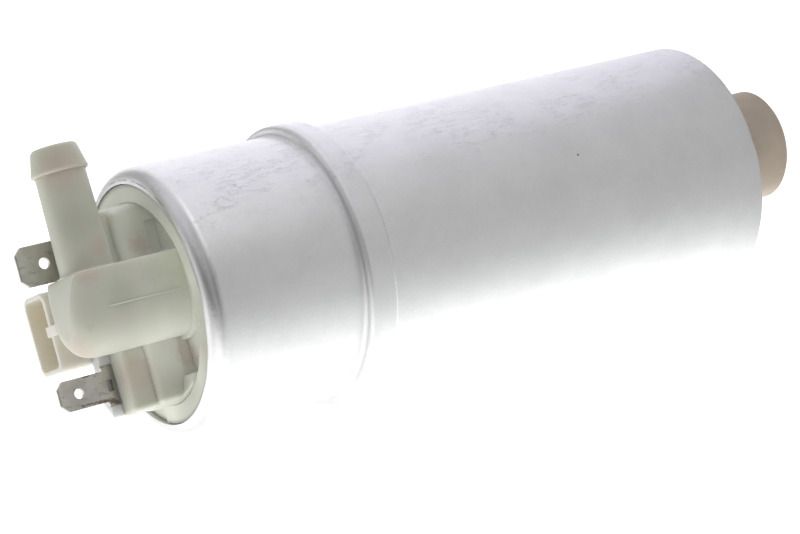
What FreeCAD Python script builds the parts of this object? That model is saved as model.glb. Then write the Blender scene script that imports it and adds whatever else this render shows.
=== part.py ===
import FreeCAD, Part
import math
import os
from FreeCAD import Vector as V

# An electric in-tank fuel pump: a direct-current motor and a gerotor pump stacked in one
# crimped can. Millimetres. +Z runs along the can from the suction end to the outlet end,
# +X is the way the hose stub points, and the origin is on the can's axis at its suction rim.

# Can
CAN_R = 21.5
CAN_WALL = 1.0
CAN_LENGTH = 106.2
RIM_CORNER = 0.5
RIM_LIP_WIDTH = 3.9
CRIMP_R = 2.5
CRIMP_LIP_WIDTH = 2.3
BEAD_FROM_END = 32.8
BEAD_WIDTH = 6.6
BEAD_HEIGHT = 1.5
BEAD_ROOT = 0.7

# Clearances
FIT = 0.05
SLIDE_FIT = 0.04
RUN_FIT = 0.03
LOOSE = 0.1
SEAL_GAP = 0.02
VALVE_GAP = 0.02

# Gerotor pump
INNER_LOBES = 6
PIN_CIRCLE_R = 12.0
LOBE_R = 3.2
ECCENTRICITY = 1.3
OUTER_ROTOR_RIM = 2.2
ROTOR_HEIGHT = 8.0
ROTOR_END_GAP = 0.03
MESH_GAP = 0.05
ROOT_GAP = 0.1
PORT_INSET = 1.3
PORT_WIDTH = 2.8
PORT_SWEEP = 128.0
INLET_PLATE = 8.0
PORT_PLATE = 6.0
SUCTION_DEPTH = 5.0
DOWEL_R = 1.2
DOWEL_REACH = 3.5

# Suction nipple
NIPPLE_X = 1.0
NIPPLE_Y = -5.6
NIPPLE_R = 9.4
NIPPLE_WALL = 2.8
NIPPLE_LENGTH = 12.0
NIPPLE_CHAMFER = 0.5
SPIGOT_STEP = 1.0

# Seals
SEAL_WIRE_R = 0.85
SEAL_GROOVE_WIDTH = 2.4
INLET_SEAL_RISE = 2.0
OUTLET_SEAL_RISE = 0.6

# Motor
SHAFT_R = 2.0
SHAFT_FLAT = 1.5
SHAFT_CHAMFER = 0.3
SHAFT_END_GAP = 0.5
BEARING_WALL = 1.6
LOWER_BEARING_LENGTH = 5.0
UPPER_BEARING_LENGTH = 5.5
COUPLING_WALL = 2.0
COUPLING_LUG = 1.4
COUPLING_LUG_WIDTH = 3.0
COUPLING_END_GAP = 0.5
FLUX_RING_WALL = 1.8
FLUX_RING_LENGTH = 50.0
MAGNET_WALL = 3.65
MAGNET_SWEEP = 140.0
MAGNET_RISE = 7.0
MAGNET_LENGTH = 38.0
MAGNET_CHAMFER = 1.0
CLIP_WALL = 0.6
AIR_GAP = 0.7
CORE_LENGTH = 32.0
CORE_SLOTS = 8
CORE_HUB_R = 5.4
TOOTH_WIDTH = 2.6
TOOTH_TIP = 1.3
SLOT_OPENING = 1.8
WINDING_OVERHANG = 6.0
WINDING_INSET = 1.65
WINDING_ROUNDING = 2.4
COMMUTATOR_INSET = 0.65
COMMUTATOR_BORE_R = 7.2
COMMUTATOR_DROP = 9.0
COMMUTATOR_HUB_HEIGHT = 5.0
COMMUTATOR_HUB_TAPER = 2.4
COMMUTATOR_HUB_DISH = 0.4
SEGMENT_COUNT = 8
SEGMENT_THICK = 1.6
SEGMENT_GAP = 0.6

# Outlet cap
CAP_RECESS = 2.9
CAP_THICK = 5.3
CAP_SKIRT_WALL = 2.0
CAP_LEDGE_WIDTH = 2.9
CAP_LEDGE_DROP = 0.3
CAP_EDGE_GAP = 0.15
CAP_DISH_WIDTH = 3.3
CAP_DISH_SAG = 0.35
CAP_NOTCH_DEPTH = 0.5
CAP_NOTCH_NEAR_Y = 4.7
CAP_NOTCH_WIDTH = 6.7
CAP_HUB_WALL = 3.0
CAP_HUB_DROP = 6.5
TOWER_INNER_X = 5.9
TOWER_INSET = 0.2
TOWER_FOOT_HEIGHT = 7.1
TOWER_SHOULDER = 1.6
TOWER_WALL = 1.26
TOWER_HEAD_INSET = 0.2
TOWER_HEAD_HEIGHT = 3.9
TOWER_ROOF = 1.8
TOWER_EDGE_R = 0.7
TOWER_LEAN = 0.75
TOWER_LEAN_HEIGHT = 3.6
TOWER_SLOT_LENGTH = 6.5
TOWER_SLOT_HEIGHT = 2.0
TOWER_SLOT_DEPTH = 0.45
GUSSET_INNER_X = 12.3
GUSSET_REACH = 3.4
GUSSET_HEIGHT = 3.9
GUSSET_FALL = 1.5
GUIDE_WALL = 1.2
GUIDE_DROP = 7.0
BRUSH_INSET = 0.2
BRUSH_SIDE = 4.6
BRUSH_LENGTH = 14.0
BRUSH_CHAMFER = 0.3
BRUSH_SPRING_INSET = 0.35
BRUSH_SPRING_WIRE_R = 0.2
BRUSH_SPRING_TURNS = 7
LEAD_R = 0.3

# Outlet boss, hose stub and check valve
BOSS_Y = -5.6
BOSS_R = 6.2
BOSS_FLAT_X = 6.65
BOSS_HEIGHT = 19.7
BOSS_SHOULDER_R = 4.2
BOSS_EDGE_R = 0.8
BOSS_DOME_R = 20.0
BOSS_DOME_X = -1.1
PLINTH_STEP = 0.7
PLINTH_HEIGHT = 0.9
STUB_RISE = 13.5
STUB_ROOT_R = 4.2
STUB_FLARE = 0.6
STUB_NECK_R = 3.95
STUB_WALL = 1.25
STUB_NECK_LENGTH = 15.65
STUB_BARB_STEP = 0.55
STUB_BARB_LENGTH = 4.2
STUB_TIP_WALL = 0.8
STUB_EDGE = 0.35
VALVE_OFFSET = -1.9
VALVE_BORE_R = 3.2
VALVE_BORE_HEIGHT = 13.5
VALVE_NECK_R = 2.0
VALVE_NECK_OVERRUN = 2.2
VALVE_SEAT_HEIGHT = 2.4
VALVE_SEAT_BORE_R = 1.7
VALVE_SEAT_BEVEL = 0.6
POPPET_INSET = 0.7
POPPET_HEAD = 1.4
POPPET_WING_HEIGHT = 1.0
POPPET_WING_WIDTH = 0.9
POPPET_STEM_R = 1.0
POPPET_STEM_LENGTH = 7.2
VALVE_SPRING_INSET = 0.15
VALVE_SPRING_WIRE_R = 0.18
VALVE_SPRING_TURNS = 5

# Relief valve
RELIEF_EDGE_GAP = 1.7
RELIEF_BOSS_R = 3.1
RELIEF_BOSS_RISE = 4.1
RELIEF_PORT_R = 1.2
RELIEF_BORE_R = 2.1
RELIEF_SEAT_RISE = 1.6
RELIEF_BALL_INSET = 0.2
RELIEF_PLUG_HEIGHT = 1.3
RELIEF_VENT_R = 0.8
RELIEF_SPRING_R = 1.25
RELIEF_SPRING_WIRE_R = 0.16
RELIEF_SPRING_TURNS = 4

# Terminals
PLATE_FRONT_Y = 0.75
PLATE_DEPTH = 2.6
PLATE_THICK = 1.9
PLATE_END_INSET = 0.25
PLATE_CORNER = 2.6
BLADE_THICK = 0.8
POSITIVE_INSET = 5.55
POSITIVE_WIDTH = 6.3
POSITIVE_LENGTH = 8.7
POSITIVE_HOLE_R = 0.9
POSITIVE_HOLE_SET_BACK = 4.4
POSITIVE_FOOT = 7.8
NEGATIVE_INSET = 5.05
NEGATIVE_WIDTH = 4.8
NEGATIVE_LENGTH = 7.9
NEGATIVE_HOLE_R = 0.8
NEGATIVE_HOLE_SET_BACK = 3.4
NEGATIVE_FOOT = 6.3
BLADE_TIP_CHAMFER = 1.2
BLADE_TIP_TAPER = 0.2
TANG_WIDTH = 0.7
TANG_DEPTH = 1.5
LANCE_WIDTH = 1.8
LANCE_HEIGHT = 0.95
LANCE_RISE = 1.05

# Connector shroud
SHROUD_MIDDLE_X = -0.35
SHROUD_WIDTH = 12.7
SHROUD_DEPTH = 8.6
SHROUD_OVERHANG = 1.0
SHROUD_HEIGHT = 5.4
SHROUD_WALL = 0.8
SHROUD_CORNER = 1.8
SHROUD_RIM_R = 0.3
SHROUD_PEDESTAL_GAP = 0.3
SHROUD_KEY_X = -0.2
SHROUD_KEY_WIDTH = 1.6
SHROUD_KEY_REACH = 1.4

# Places that follow from the sizes
CAN_BORE_R = CAN_R - CAN_WALL
INNER_R = CAN_BORE_R - FIT
RIM_LIP_R = CAN_R - RIM_LIP_WIDTH
CRIMP_LIP_R = CAN_R - CRIMP_LIP_WIDTH
CRIMP_CENTRE_R = CAN_R - CRIMP_R
CRIMP_CENTRE_Z = CAN_LENGTH - CRIMP_R
CRIMP_ANGLE = math.acos((CRIMP_LIP_R - CRIMP_CENTRE_R) / CRIMP_R)
BEAD_START = CAN_LENGTH - BEAD_FROM_END
ROTOR_BASE = CAN_WALL + INLET_PLATE
ROTOR_TOP = ROTOR_BASE + ROTOR_HEIGHT
PLATE_TOP = ROTOR_TOP + PORT_PLATE
OUTER_TEETH = INNER_LOBES + 1
OUTER_ROTOR_R = PIN_CIRCLE_R + OUTER_ROTOR_RIM
ROOT_R = PIN_CIRCLE_R + 2 * ECCENTRICITY - LOBE_R + ROOT_GAP
PORT_OUTER_R = PIN_CIRCLE_R - PORT_INSET
PORT_INNER_R = PORT_OUTER_R - PORT_WIDTH
DOWEL_CIRCLE_R = (CAN_BORE_R + OUTER_ROTOR_R) / 2
NIPPLE_BORE_R = NIPPLE_R - NIPPLE_WALL
SPIGOT_R = NIPPLE_R - SPIGOT_STEP
SUCTION_FLOOR = ROTOR_BASE - SUCTION_DEPTH
BEARING_R = SHAFT_R + BEARING_WALL
COUPLING_R = SHAFT_R + COUPLING_WALL
COUPLING_LUG_R = COUPLING_R + COUPLING_LUG
COUPLING_LOW = ROTOR_BASE + COUPLING_END_GAP
COUPLING_HIGH = ROTOR_TOP - COUPLING_END_GAP
FLUX_RING_TOP = PLATE_TOP + FLUX_RING_LENGTH
FLUX_RING_BORE_R = INNER_R - FLUX_RING_WALL
MAGNET_START = PLATE_TOP + MAGNET_RISE
MAGNET_R = FLUX_RING_BORE_R - FIT
MAGNET_BORE_R = MAGNET_R - MAGNET_WALL
CORE_R = MAGNET_BORE_R - AIR_GAP
CORE_START = MAGNET_START + (MAGNET_LENGTH - CORE_LENGTH) / 2
CORE_TOP = CORE_START + CORE_LENGTH
WINDING_R = CORE_R - WINDING_INSET
COMMUTATOR_R = CORE_R - COMMUTATOR_INSET
CAP_FACE = CAN_LENGTH - CAP_RECESS
CAP_FLOOR = CAP_FACE - CAP_THICK
CAP_HUB_R = BEARING_R + CAP_HUB_WALL
CAP_HUB_LOW = CAP_FLOOR - CAP_HUB_DROP
CAP_RING_R = CRIMP_LIP_R - CAP_LEDGE_WIDTH
CAP_RING_EDGE_R = CRIMP_LIP_R - CAP_EDGE_GAP
CAP_RING_TOP = CAN_LENGTH - CAP_LEDGE_DROP
CAP_DISH_R = CAP_RING_R - CAP_DISH_WIDTH
INLET_SEAL_Z = CAN_WALL + INLET_SEAL_RISE
OUTLET_SEAL_Z = CAP_FLOOR + OUTLET_SEAL_RISE
SHAFT_TOP = CAP_FLOOR - SHAFT_END_GAP
COMMUTATOR_FACE = CAP_FLOOR - COMMUTATOR_DROP
BRUSH_X = (COMMUTATOR_R + COMMUTATOR_BORE_R) / 2 - BRUSH_INSET
BRUSH_TOP = COMMUTATOR_FACE + VALVE_GAP + BRUSH_LENGTH
BRUSH_SPRING_R = BRUSH_SIDE / 2 - BRUSH_SPRING_INSET
GUIDE_SIDE = BRUSH_SIDE + 2 * SLIDE_FIT
TOWER_OUTER_R = CAP_RING_R - TOWER_INSET
TOWER_HEAD_R = TOWER_OUTER_R - TOWER_HEAD_INSET
TOWER_HEAD_HALF_WIDTH = GUIDE_SIDE / 2 + TOWER_WALL
TOWER_HALF_WIDTH = TOWER_HEAD_HALF_WIDTH + TOWER_SHOULDER
TOWER_STEP = CAP_FACE + TOWER_FOOT_HEIGHT
TOWER_TOP = TOWER_STEP + TOWER_HEAD_HEIGHT
SPRING_TOP = TOWER_TOP - TOWER_ROOF
BOSS_CREST = CAP_FACE + BOSS_HEIGHT
STUB_Z = CAP_FACE + STUB_RISE
STUB_BORE_R = STUB_NECK_R - STUB_WALL
STUB_BARB_X = BOSS_FLAT_X + STUB_NECK_LENGTH
STUB_BARB_R = STUB_NECK_R + STUB_BARB_STEP
STUB_TIP_X = STUB_BARB_X + STUB_BARB_LENGTH
STUB_TIP_R = STUB_BORE_R + STUB_TIP_WALL
VALVE_Y = BOSS_Y + VALVE_OFFSET
VALVE_SHOULDER = CAP_FLOOR + VALVE_BORE_HEIGHT
VALVE_SEAT_TOP = CAP_FLOOR + VALVE_SEAT_HEIGHT
POPPET_R = VALVE_BORE_R - POPPET_INSET
POPPET_TOP = VALVE_SEAT_TOP + POPPET_HEAD
VALVE_SPRING_R = POPPET_R - VALVE_SPRING_INSET
RELIEF_X = (CRIMP_LIP_R - RELIEF_EDGE_GAP - RELIEF_BOSS_R) * math.sqrt(0.5)
RELIEF_Y = RELIEF_X
RELIEF_BOSS_TOP = CAP_FACE + RELIEF_BOSS_RISE
RELIEF_SEAT_Z = CAP_FLOOR + RELIEF_SEAT_RISE
RELIEF_BALL_R = RELIEF_BORE_R - RELIEF_BALL_INSET
RELIEF_PLUG_Z = RELIEF_BOSS_TOP - RELIEF_PLUG_HEIGHT
PLATE_FACE = TOWER_TOP + PLATE_THICK
PLATE_BACK_Y = PLATE_FRONT_Y + PLATE_DEPTH
PLATE_HALF_LENGTH = TOWER_HEAD_R - PLATE_END_INSET
POSITIVE_X = PLATE_HALF_LENGTH - POSITIVE_INSET
NEGATIVE_X = NEGATIVE_INSET - PLATE_HALF_LENGTH
LEAD_Y = PLATE_FRONT_Y + BLADE_THICK / 2
SHROUD_LOW_X = SHROUD_MIDDLE_X - SHROUD_WIDTH / 2
SHROUD_HIGH_X = SHROUD_MIDDLE_X + SHROUD_WIDTH / 2
SHROUD_NEAR_Y = PLATE_BACK_Y - SHROUD_OVERHANG
SHROUD_FLOOR = TOWER_TOP + SHROUD_WALL
SHROUD_MOUTH = PLATE_FACE + SHROUD_HEIGHT
UP = V(0, 0, 1)


def cylinder(radius, low, high, x=0.0, y=0.0):
    return Part.makeCylinder(radius, high - low, V(x, y, low), UP)


def tube(outer, inner, low, high, x=0.0, y=0.0):
    return cylinder(outer, low, high, x, y).cut(cylinder(inner, low, high, x, y))


def block(x_low, x_high, y_low, y_high, low, high):
    return Part.makeBox(x_high - x_low, y_high - y_low, high - low, V(x_low, y_low, low))


def turned(points):
    """A solid turned about Z from a closed (radius, z) outline; a tuple of three points is an arc."""
    edges = []
    for item in points:
        if len(item) == 3:
            edges.append(Part.Arc(*[V(r, 0, z) for r, z in item]).toShape())
        else:
            edges.append(Part.LineSegment(*[V(r, 0, z) for r, z in item]).toShape())
    return Part.Face(Part.Wire(edges)).revolve(V(0, 0, 0), UP, 360)


def lathe(corners):
    """A solid turned about Z from a closed (radius, z) outline of straight sides."""
    ring = [V(r, 0, z) for r, z in corners]
    return Part.Face(Part.makePolygon(ring + ring[:1])).revolve(V(0, 0, 0), UP, 360)


def arc_slot(inner, outer, middle_deg, sweep_deg, low, high):
    """A kidney: the part of a ring within sweep_deg of arc about middle_deg, with round ends."""
    start = math.radians(middle_deg - sweep_deg / 2)
    face = Part.Face(Part.makePolygon([V(inner, 0, low), V(outer, 0, low), V(outer, 0, high),
                                       V(inner, 0, high), V(inner, 0, low)]))
    solid = face.revolve(V(0, 0, 0), UP, sweep_deg)
    solid.rotate(V(0, 0, 0), UP, math.degrees(start))
    middle_r = (inner + outer) / 2
    for angle in (start, start + math.radians(sweep_deg)):
        end = cylinder((outer - inner) / 2, low, high, middle_r * math.cos(angle), middle_r * math.sin(angle))
        solid = solid.fuse(end)
    return solid.removeSplitter()


def ring_sector(inner, outer, middle_deg, sweep_deg, low, high):
    face = Part.Face(Part.makePolygon([V(inner, 0, low), V(outer, 0, low), V(outer, 0, high),
                                       V(inner, 0, high), V(inner, 0, low)]))
    solid = face.revolve(V(0, 0, 0), UP, sweep_deg)
    solid.rotate(V(0, 0, 0), UP, middle_deg - sweep_deg / 2)
    return solid


def bow(start, apex, end):
    """The arc that leaves start towards apex and arrives at end from it."""
    middle = (start + end) * 0.5
    half = (end - start).Length / 2
    reach = (apex - start).Length
    lean = math.acos(half / reach)
    rise = half / math.sin(lean) * (1 - math.cos(lean))
    return Part.Arc(start, middle + (apex - middle).normalize() * rise, end).toShape()


def coil(x, y, radius, wire_r, low, high, turns):
    """A round-wire compression spring: a pipe along two tangent arcs per quarter turn."""
    steps = 4 * turns
    rise = (high - low - 2 * wire_r) / (2 * math.pi * turns)
    lead = math.hypot(radius, rise)

    def place(k):
        turn = k * math.pi / 2
        return V(x + radius * math.cos(turn), y + radius * math.sin(turn), low + wire_r + rise * turn)

    def heading(k):
        turn = k * math.pi / 2
        return V(-radius * math.sin(turn), radius * math.cos(turn), rise) * (1 / lead)

    arcs = []
    for k in range(steps):
        p, q, a, b = place(k), place(k + 1), heading(k), heading(k + 1)
        span, both = q - p, a + b
        spread = 2 * (1 - a.dot(b))
        reach = (math.sqrt(span.dot(both) ** 2 + spread * span.dot(span)) - span.dot(both)) / spread
        near, far = p + a * reach, q - b * reach
        meet = (near + far) * 0.5
        arcs += [bow(p, near, meet), bow(meet, far, q)]
    section = Part.Wire(Part.makeCircle(wire_r, place(0), heading(0)))
    return Part.Wire(arcs).makePipeShell([section], True, False)


def can():
    """The drawn can: a turned-in rim, one rolled bead and the outlet end curled over the cap."""
    r, wall = CAN_R, CAN_WALL
    bead_end = BEAD_START + BEAD_WIDTH
    crest = r + BEAD_HEIGHT
    brow = BEAD_HEIGHT - BEAD_ROOT
    bevel = math.sqrt(0.5)
    half = CRIMP_ANGLE / 2

    def curl(radius, angle):
        return (CRIMP_CENTRE_R + radius * math.cos(angle), CRIMP_CENTRE_Z + radius * math.sin(angle))

    inside = CRIMP_R - wall
    corner = (r - RIM_CORNER * (1 - bevel), RIM_CORNER * (1 - bevel))
    foot = ((r, BEAD_START),
            (r + BEAD_ROOT * (1 - bevel), BEAD_START + BEAD_ROOT * bevel),
            (r + BEAD_ROOT, BEAD_START + BEAD_ROOT))
    shoulder = (foot[2],
                (crest - brow * (1 - bevel), BEAD_START + BEAD_ROOT + brow * (1 - bevel)),
                (crest, BEAD_START + BEAD_HEIGHT))
    middle = 2 * BEAD_START + BEAD_WIDTH
    upper_shoulder = tuple((a, middle - b) for a, b in reversed(shoulder))
    upper_foot = tuple((a, middle - b) for a, b in reversed(foot))
    groove = [(r - wall, bead_end - wall), (crest - wall, bead_end - wall - BEAD_HEIGHT),
              (crest - wall, BEAD_START + wall + BEAD_HEIGHT), (r - wall, BEAD_START + wall)]
    return turned([
        ((RIM_LIP_R, 0), (r - RIM_CORNER, 0)),
        ((r - RIM_CORNER, 0), corner, (r, RIM_CORNER)),
        ((r, RIM_CORNER), (r, BEAD_START)),
        foot,
        shoulder,
        (shoulder[2], upper_shoulder[0]),
        upper_shoulder,
        upper_foot,
        ((r, bead_end), curl(CRIMP_R, 0)),
        (curl(CRIMP_R, 0), curl(CRIMP_R, half), curl(CRIMP_R, CRIMP_ANGLE)),
        (curl(CRIMP_R, CRIMP_ANGLE), curl(inside, CRIMP_ANGLE)),
        (curl(inside, CRIMP_ANGLE), curl(inside, half), curl(inside, 0)),
        (curl(inside, 0), groove[0]),
        (groove[0], groove[1]),
        (groove[1], groove[2]),
        (groove[2], groove[3]),
        (groove[3], (r - wall, wall)),
        ((r - wall, wall), (RIM_LIP_R, wall)),
        ((RIM_LIP_R, wall), (RIM_LIP_R, 0)),
    ])


def seal_groove(low):
    """The ring cut out of a disc's edge for an O-ring."""
    floor = CAN_BORE_R - SEAL_GAP - 2 * SEAL_WIRE_R - SEAL_GAP
    return tube(CAN_R, floor, low, low + SEAL_GROOVE_WIDTH)


def seal(low):
    return Part.makeTorus(CAN_BORE_R - SEAL_GAP - SEAL_WIRE_R, SEAL_WIRE_R, V(0, 0, low + SEAL_GROOVE_WIDTH / 2))


def dowel_places():
    return [(0.0, DOWEL_CIRCLE_R), (0.0, -DOWEL_CIRCLE_R)]


def dowel_holes(low, high):
    return [cylinder(DOWEL_R + FIT, low, high, x, y) for x, y in dowel_places()]


def dowel_pin(place):
    x, y = place
    return cylinder(DOWEL_R, ROTOR_BASE - DOWEL_REACH, ROTOR_TOP + DOWEL_REACH, x, y)


def suction_nipple():
    """The off-centre nipple, its spigot pressed into the suction cover."""
    nipple = cylinder(NIPPLE_R, -NIPPLE_LENGTH, CAN_WALL, NIPPLE_X, NIPPLE_Y)
    mouth = [e for e in nipple.Edges if abs(e.CenterOfMass.z + NIPPLE_LENGTH) < 1e-6 and e.Closed]
    nipple = nipple.makeChamfer(NIPPLE_CHAMFER, mouth)
    nipple = nipple.fuse(cylinder(SPIGOT_R, CAN_WALL, SUCTION_FLOOR, NIPPLE_X, NIPPLE_Y))
    bore = cylinder(NIPPLE_BORE_R, -NIPPLE_LENGTH, SUCTION_FLOOR, NIPPLE_X, NIPPLE_Y)
    return nipple.cut(bore).removeSplitter()


def inlet_cover():
    """The suction cover: the nipple's seat on one face, the suction kidney on the other."""
    body = cylinder(INNER_R, CAN_WALL, ROTOR_BASE)
    seat = cylinder(SPIGOT_R + FIT, CAN_WALL, SUCTION_FLOOR, NIPPLE_X, NIPPLE_Y)
    kidney = arc_slot(PORT_INNER_R, PORT_OUTER_R, -90, PORT_SWEEP, SUCTION_FLOOR - LOOSE, ROTOR_BASE)
    cuts = [seat, kidney, seal_groove(INLET_SEAL_Z)] + dowel_holes(ROTOR_BASE - DOWEL_REACH - LOOSE, ROTOR_BASE)
    return body.cut(cuts).removeSplitter()


def pump_ring():
    ring = cylinder(INNER_R, ROTOR_BASE, ROTOR_TOP)
    chamber = cylinder(OUTER_ROTOR_R + RUN_FIT, ROTOR_BASE, ROTOR_TOP, ECCENTRICITY)
    return ring.cut([chamber] + dowel_holes(ROTOR_BASE, ROTOR_TOP))


def trochoid(steps):
    """The lobed inner outline: the pins' path about the inner rotor, drawn in by the pin radius."""
    teeth = INNER_LOBES + 1
    points = []
    for k in range(steps):
        t = 2 * math.pi * k / steps
        x = PIN_CIRCLE_R * math.cos(t) + ECCENTRICITY * math.cos(teeth * t)
        y = PIN_CIRCLE_R * math.sin(t) + ECCENTRICITY * math.sin(teeth * t)
        dx = -PIN_CIRCLE_R * math.sin(t) - ECCENTRICITY * teeth * math.sin(teeth * t)
        dy = PIN_CIRCLE_R * math.cos(t) + ECCENTRICITY * teeth * math.cos(teeth * t)
        inset = (LOBE_R + MESH_GAP) / math.hypot(dx, dy)
        points.append(V(x - dy * inset, y + dx * inset, 0))
    return points


def coupling_outline(gap, low, high):
    half = COUPLING_LUG_WIDTH / 2 + gap
    hub = cylinder(COUPLING_R + gap, low, high)
    lugs = block(-COUPLING_LUG_R - gap, COUPLING_LUG_R + gap, -half, half, low, high)
    return hub.fuse(lugs).removeSplitter()


def shaft_outline(gap, low, high):
    """The shaft's lower end with two flats."""
    flats = block(-SHAFT_R - 1, SHAFT_R + 1, -SHAFT_FLAT - gap, SHAFT_FLAT + gap, low, high)
    return cylinder(SHAFT_R + gap, low, high).common(flats)


def inner_rotor():
    curve = Part.BSplineCurve()
    curve.interpolate(trochoid(16 * INNER_LOBES), PeriodicFlag=True)
    outline = Part.Face(Part.Wire(curve.toShape()))
    outline.translate(V(0, 0, ROTOR_BASE + ROTOR_END_GAP))
    rotor = outline.extrude(UP * (ROTOR_HEIGHT - 2 * ROTOR_END_GAP))
    return rotor.cut(coupling_outline(LOOSE, ROTOR_BASE, ROTOR_TOP))


def outer_rotor():
    low, high = ROTOR_BASE + ROTOR_END_GAP, ROTOR_TOP - ROTOR_END_GAP
    ring = tube(OUTER_ROTOR_R, ROOT_R, low, high)
    for k in range(OUTER_TEETH):
        angle = 2 * math.pi * k / OUTER_TEETH
        tooth = cylinder(LOBE_R, low, high, PIN_CIRCLE_R * math.cos(angle), PIN_CIRCLE_R * math.sin(angle))
        ring = ring.fuse(tooth.common(cylinder(OUTER_ROTOR_R, low, high)))
    ring = ring.removeSplitter()
    ring.translate(V(ECCENTRICITY, 0, 0))
    return ring


def drive_coupling():
    low, high = COUPLING_LOW, COUPLING_HIGH
    return coupling_outline(0, low, high).cut(shaft_outline(FIT, low, high))


def port_plate():
    """The plate between pump and motor, with the pressure kidney and the lower bearing seat."""
    plate = cylinder(INNER_R, ROTOR_TOP, PLATE_TOP)
    kidney = arc_slot(PORT_INNER_R, PORT_OUTER_R, 90, PORT_SWEEP, ROTOR_TOP, PLATE_TOP)
    seat = cylinder(BEARING_R + FIT, PLATE_TOP - LOWER_BEARING_LENGTH, PLATE_TOP)
    passage = cylinder(SHAFT_R + LOOSE, ROTOR_TOP, PLATE_TOP)
    return plate.cut([kidney, seat, passage] + dowel_holes(ROTOR_TOP, ROTOR_TOP + DOWEL_REACH + LOOSE))


def bearing(low, high):
    return tube(BEARING_R, SHAFT_R + RUN_FIT, low, high)


def flux_ring():
    return tube(INNER_R, FLUX_RING_BORE_R, PLATE_TOP, FLUX_RING_TOP)


def magnet(middle_deg):
    arc = ring_sector(MAGNET_BORE_R, MAGNET_R, middle_deg, MAGNET_SWEEP, MAGNET_START, MAGNET_START + MAGNET_LENGTH)
    ends = [e for e in arc.Edges if abs(e.Length - MAGNET_LENGTH) < 1e-6
            and math.hypot(e.CenterOfMass.x, e.CenterOfMass.y) < MAGNET_BORE_R + FIT]
    return arc.makeChamfer(MAGNET_CHAMFER, ends)


def magnet_clip(middle_deg):
    """A spring strip between two edges of the magnets, which holds them apart."""
    sweep = 180 - MAGNET_SWEEP - 2 * math.degrees(LOOSE / MAGNET_R)
    return ring_sector(MAGNET_R - CLIP_WALL, MAGNET_R, middle_deg, sweep, MAGNET_START, MAGNET_START + MAGNET_LENGTH)


def armature_shaft():
    round_part = cylinder(SHAFT_R, ROTOR_TOP + LOOSE, SHAFT_TOP)
    flat_part = shaft_outline(0, COUPLING_LOW, ROTOR_TOP + LOOSE)
    tip = [e for e in round_part.Edges if abs(e.CenterOfMass.z - SHAFT_TOP) < 1e-6 and e.Closed]
    return round_part.makeChamfer(SHAFT_CHAMFER, tip).fuse(flat_part).removeSplitter()


def slot_space(gap, inner, outer, low, high):
    """The wire space between two teeth of the core, shrunk by gap all round."""
    pitch = 360.0 / CORE_SLOTS
    middle = ring_sector(inner, outer, 0, pitch, low, high)
    half = TOOTH_WIDTH / 2 + gap
    for side in (-1, 1):
        tooth = block(0, CORE_R, -half, half, low, high)
        tooth.rotate(V(0, 0, 0), UP, side * pitch / 2)
        middle = middle.cut(tooth)
    return middle


def armature_core():
    """The laminated core: a hub and T-shaped teeth with wire slots between them."""
    core = cylinder(CORE_R, CORE_START, CORE_TOP).cut(cylinder(SHAFT_R + FIT, CORE_START, CORE_TOP))
    for k in range(CORE_SLOTS):
        space = slot_space(0, CORE_HUB_R, CORE_R - TOOTH_TIP, CORE_START, CORE_TOP)
        mouth = block(CORE_R - 2 * TOOTH_TIP, CORE_R + 1, -SLOT_OPENING / 2, SLOT_OPENING / 2, CORE_START, CORE_TOP)
        cut = space.fuse(mouth)
        cut.rotate(V(0, 0, 0), UP, (k + 0.5) * 360.0 / CORE_SLOTS)
        core = core.cut(cut)
    return core.removeSplitter()


def armature_winding():
    """The coils: a bundle in each slot, joined by a rounded crown at each end of the core."""
    low, high = CORE_START - WINDING_OVERHANG, CORE_TOP + WINDING_OVERHANG
    inner = CORE_HUB_R + LOOSE
    crowns = []
    for start, end in ((low, CORE_START - LOOSE), (CORE_TOP + LOOSE, high)):
        crown = tube(WINDING_R, inner, start, end)
        rim = [e for e in crown.Edges if e.Closed and e.Length > 2 * math.pi * (WINDING_R - FIT)
               and min(abs(e.CenterOfMass.z - low), abs(e.CenterOfMass.z - high)) < 1e-6]
        crowns.append(crown.makeFillet(WINDING_ROUNDING, rim))
    coils = crowns[0].fuse(crowns[1])
    for k in range(CORE_SLOTS):
        bundle = slot_space(LOOSE, inner, CORE_R - TOOTH_TIP - LOOSE, CORE_START - 2 * LOOSE, CORE_TOP + 2 * LOOSE)
        bundle.rotate(V(0, 0, 0), UP, (k + 0.5) * 360.0 / CORE_SLOTS)
        coils = coils.fuse(bundle)
    return coils.removeSplitter()


def commutator_hub():
    top = COMMUTATOR_FACE - SEGMENT_THICK
    low = top - COMMUTATOR_HUB_HEIGHT
    inner = COMMUTATOR_FACE - COMMUTATOR_HUB_DISH
    taper = COMMUTATOR_HUB_TAPER
    return lathe([(SHAFT_R + FIT, low), (COMMUTATOR_R - taper, low), (COMMUTATOR_R, low + taper), (COMMUTATOR_R, top),
                  (COMMUTATOR_BORE_R, top), (COMMUTATOR_BORE_R, inner), (SHAFT_R + FIT, inner)])


def commutator_segment(number):
    pitch = 360.0 / SEGMENT_COUNT
    gap = math.degrees(SEGMENT_GAP / COMMUTATOR_R)
    inner = COMMUTATOR_BORE_R + FIT
    return ring_sector(inner, COMMUTATOR_R, number * pitch, pitch - gap, COMMUTATOR_FACE - SEGMENT_THICK,
                       COMMUTATOR_FACE)


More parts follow.
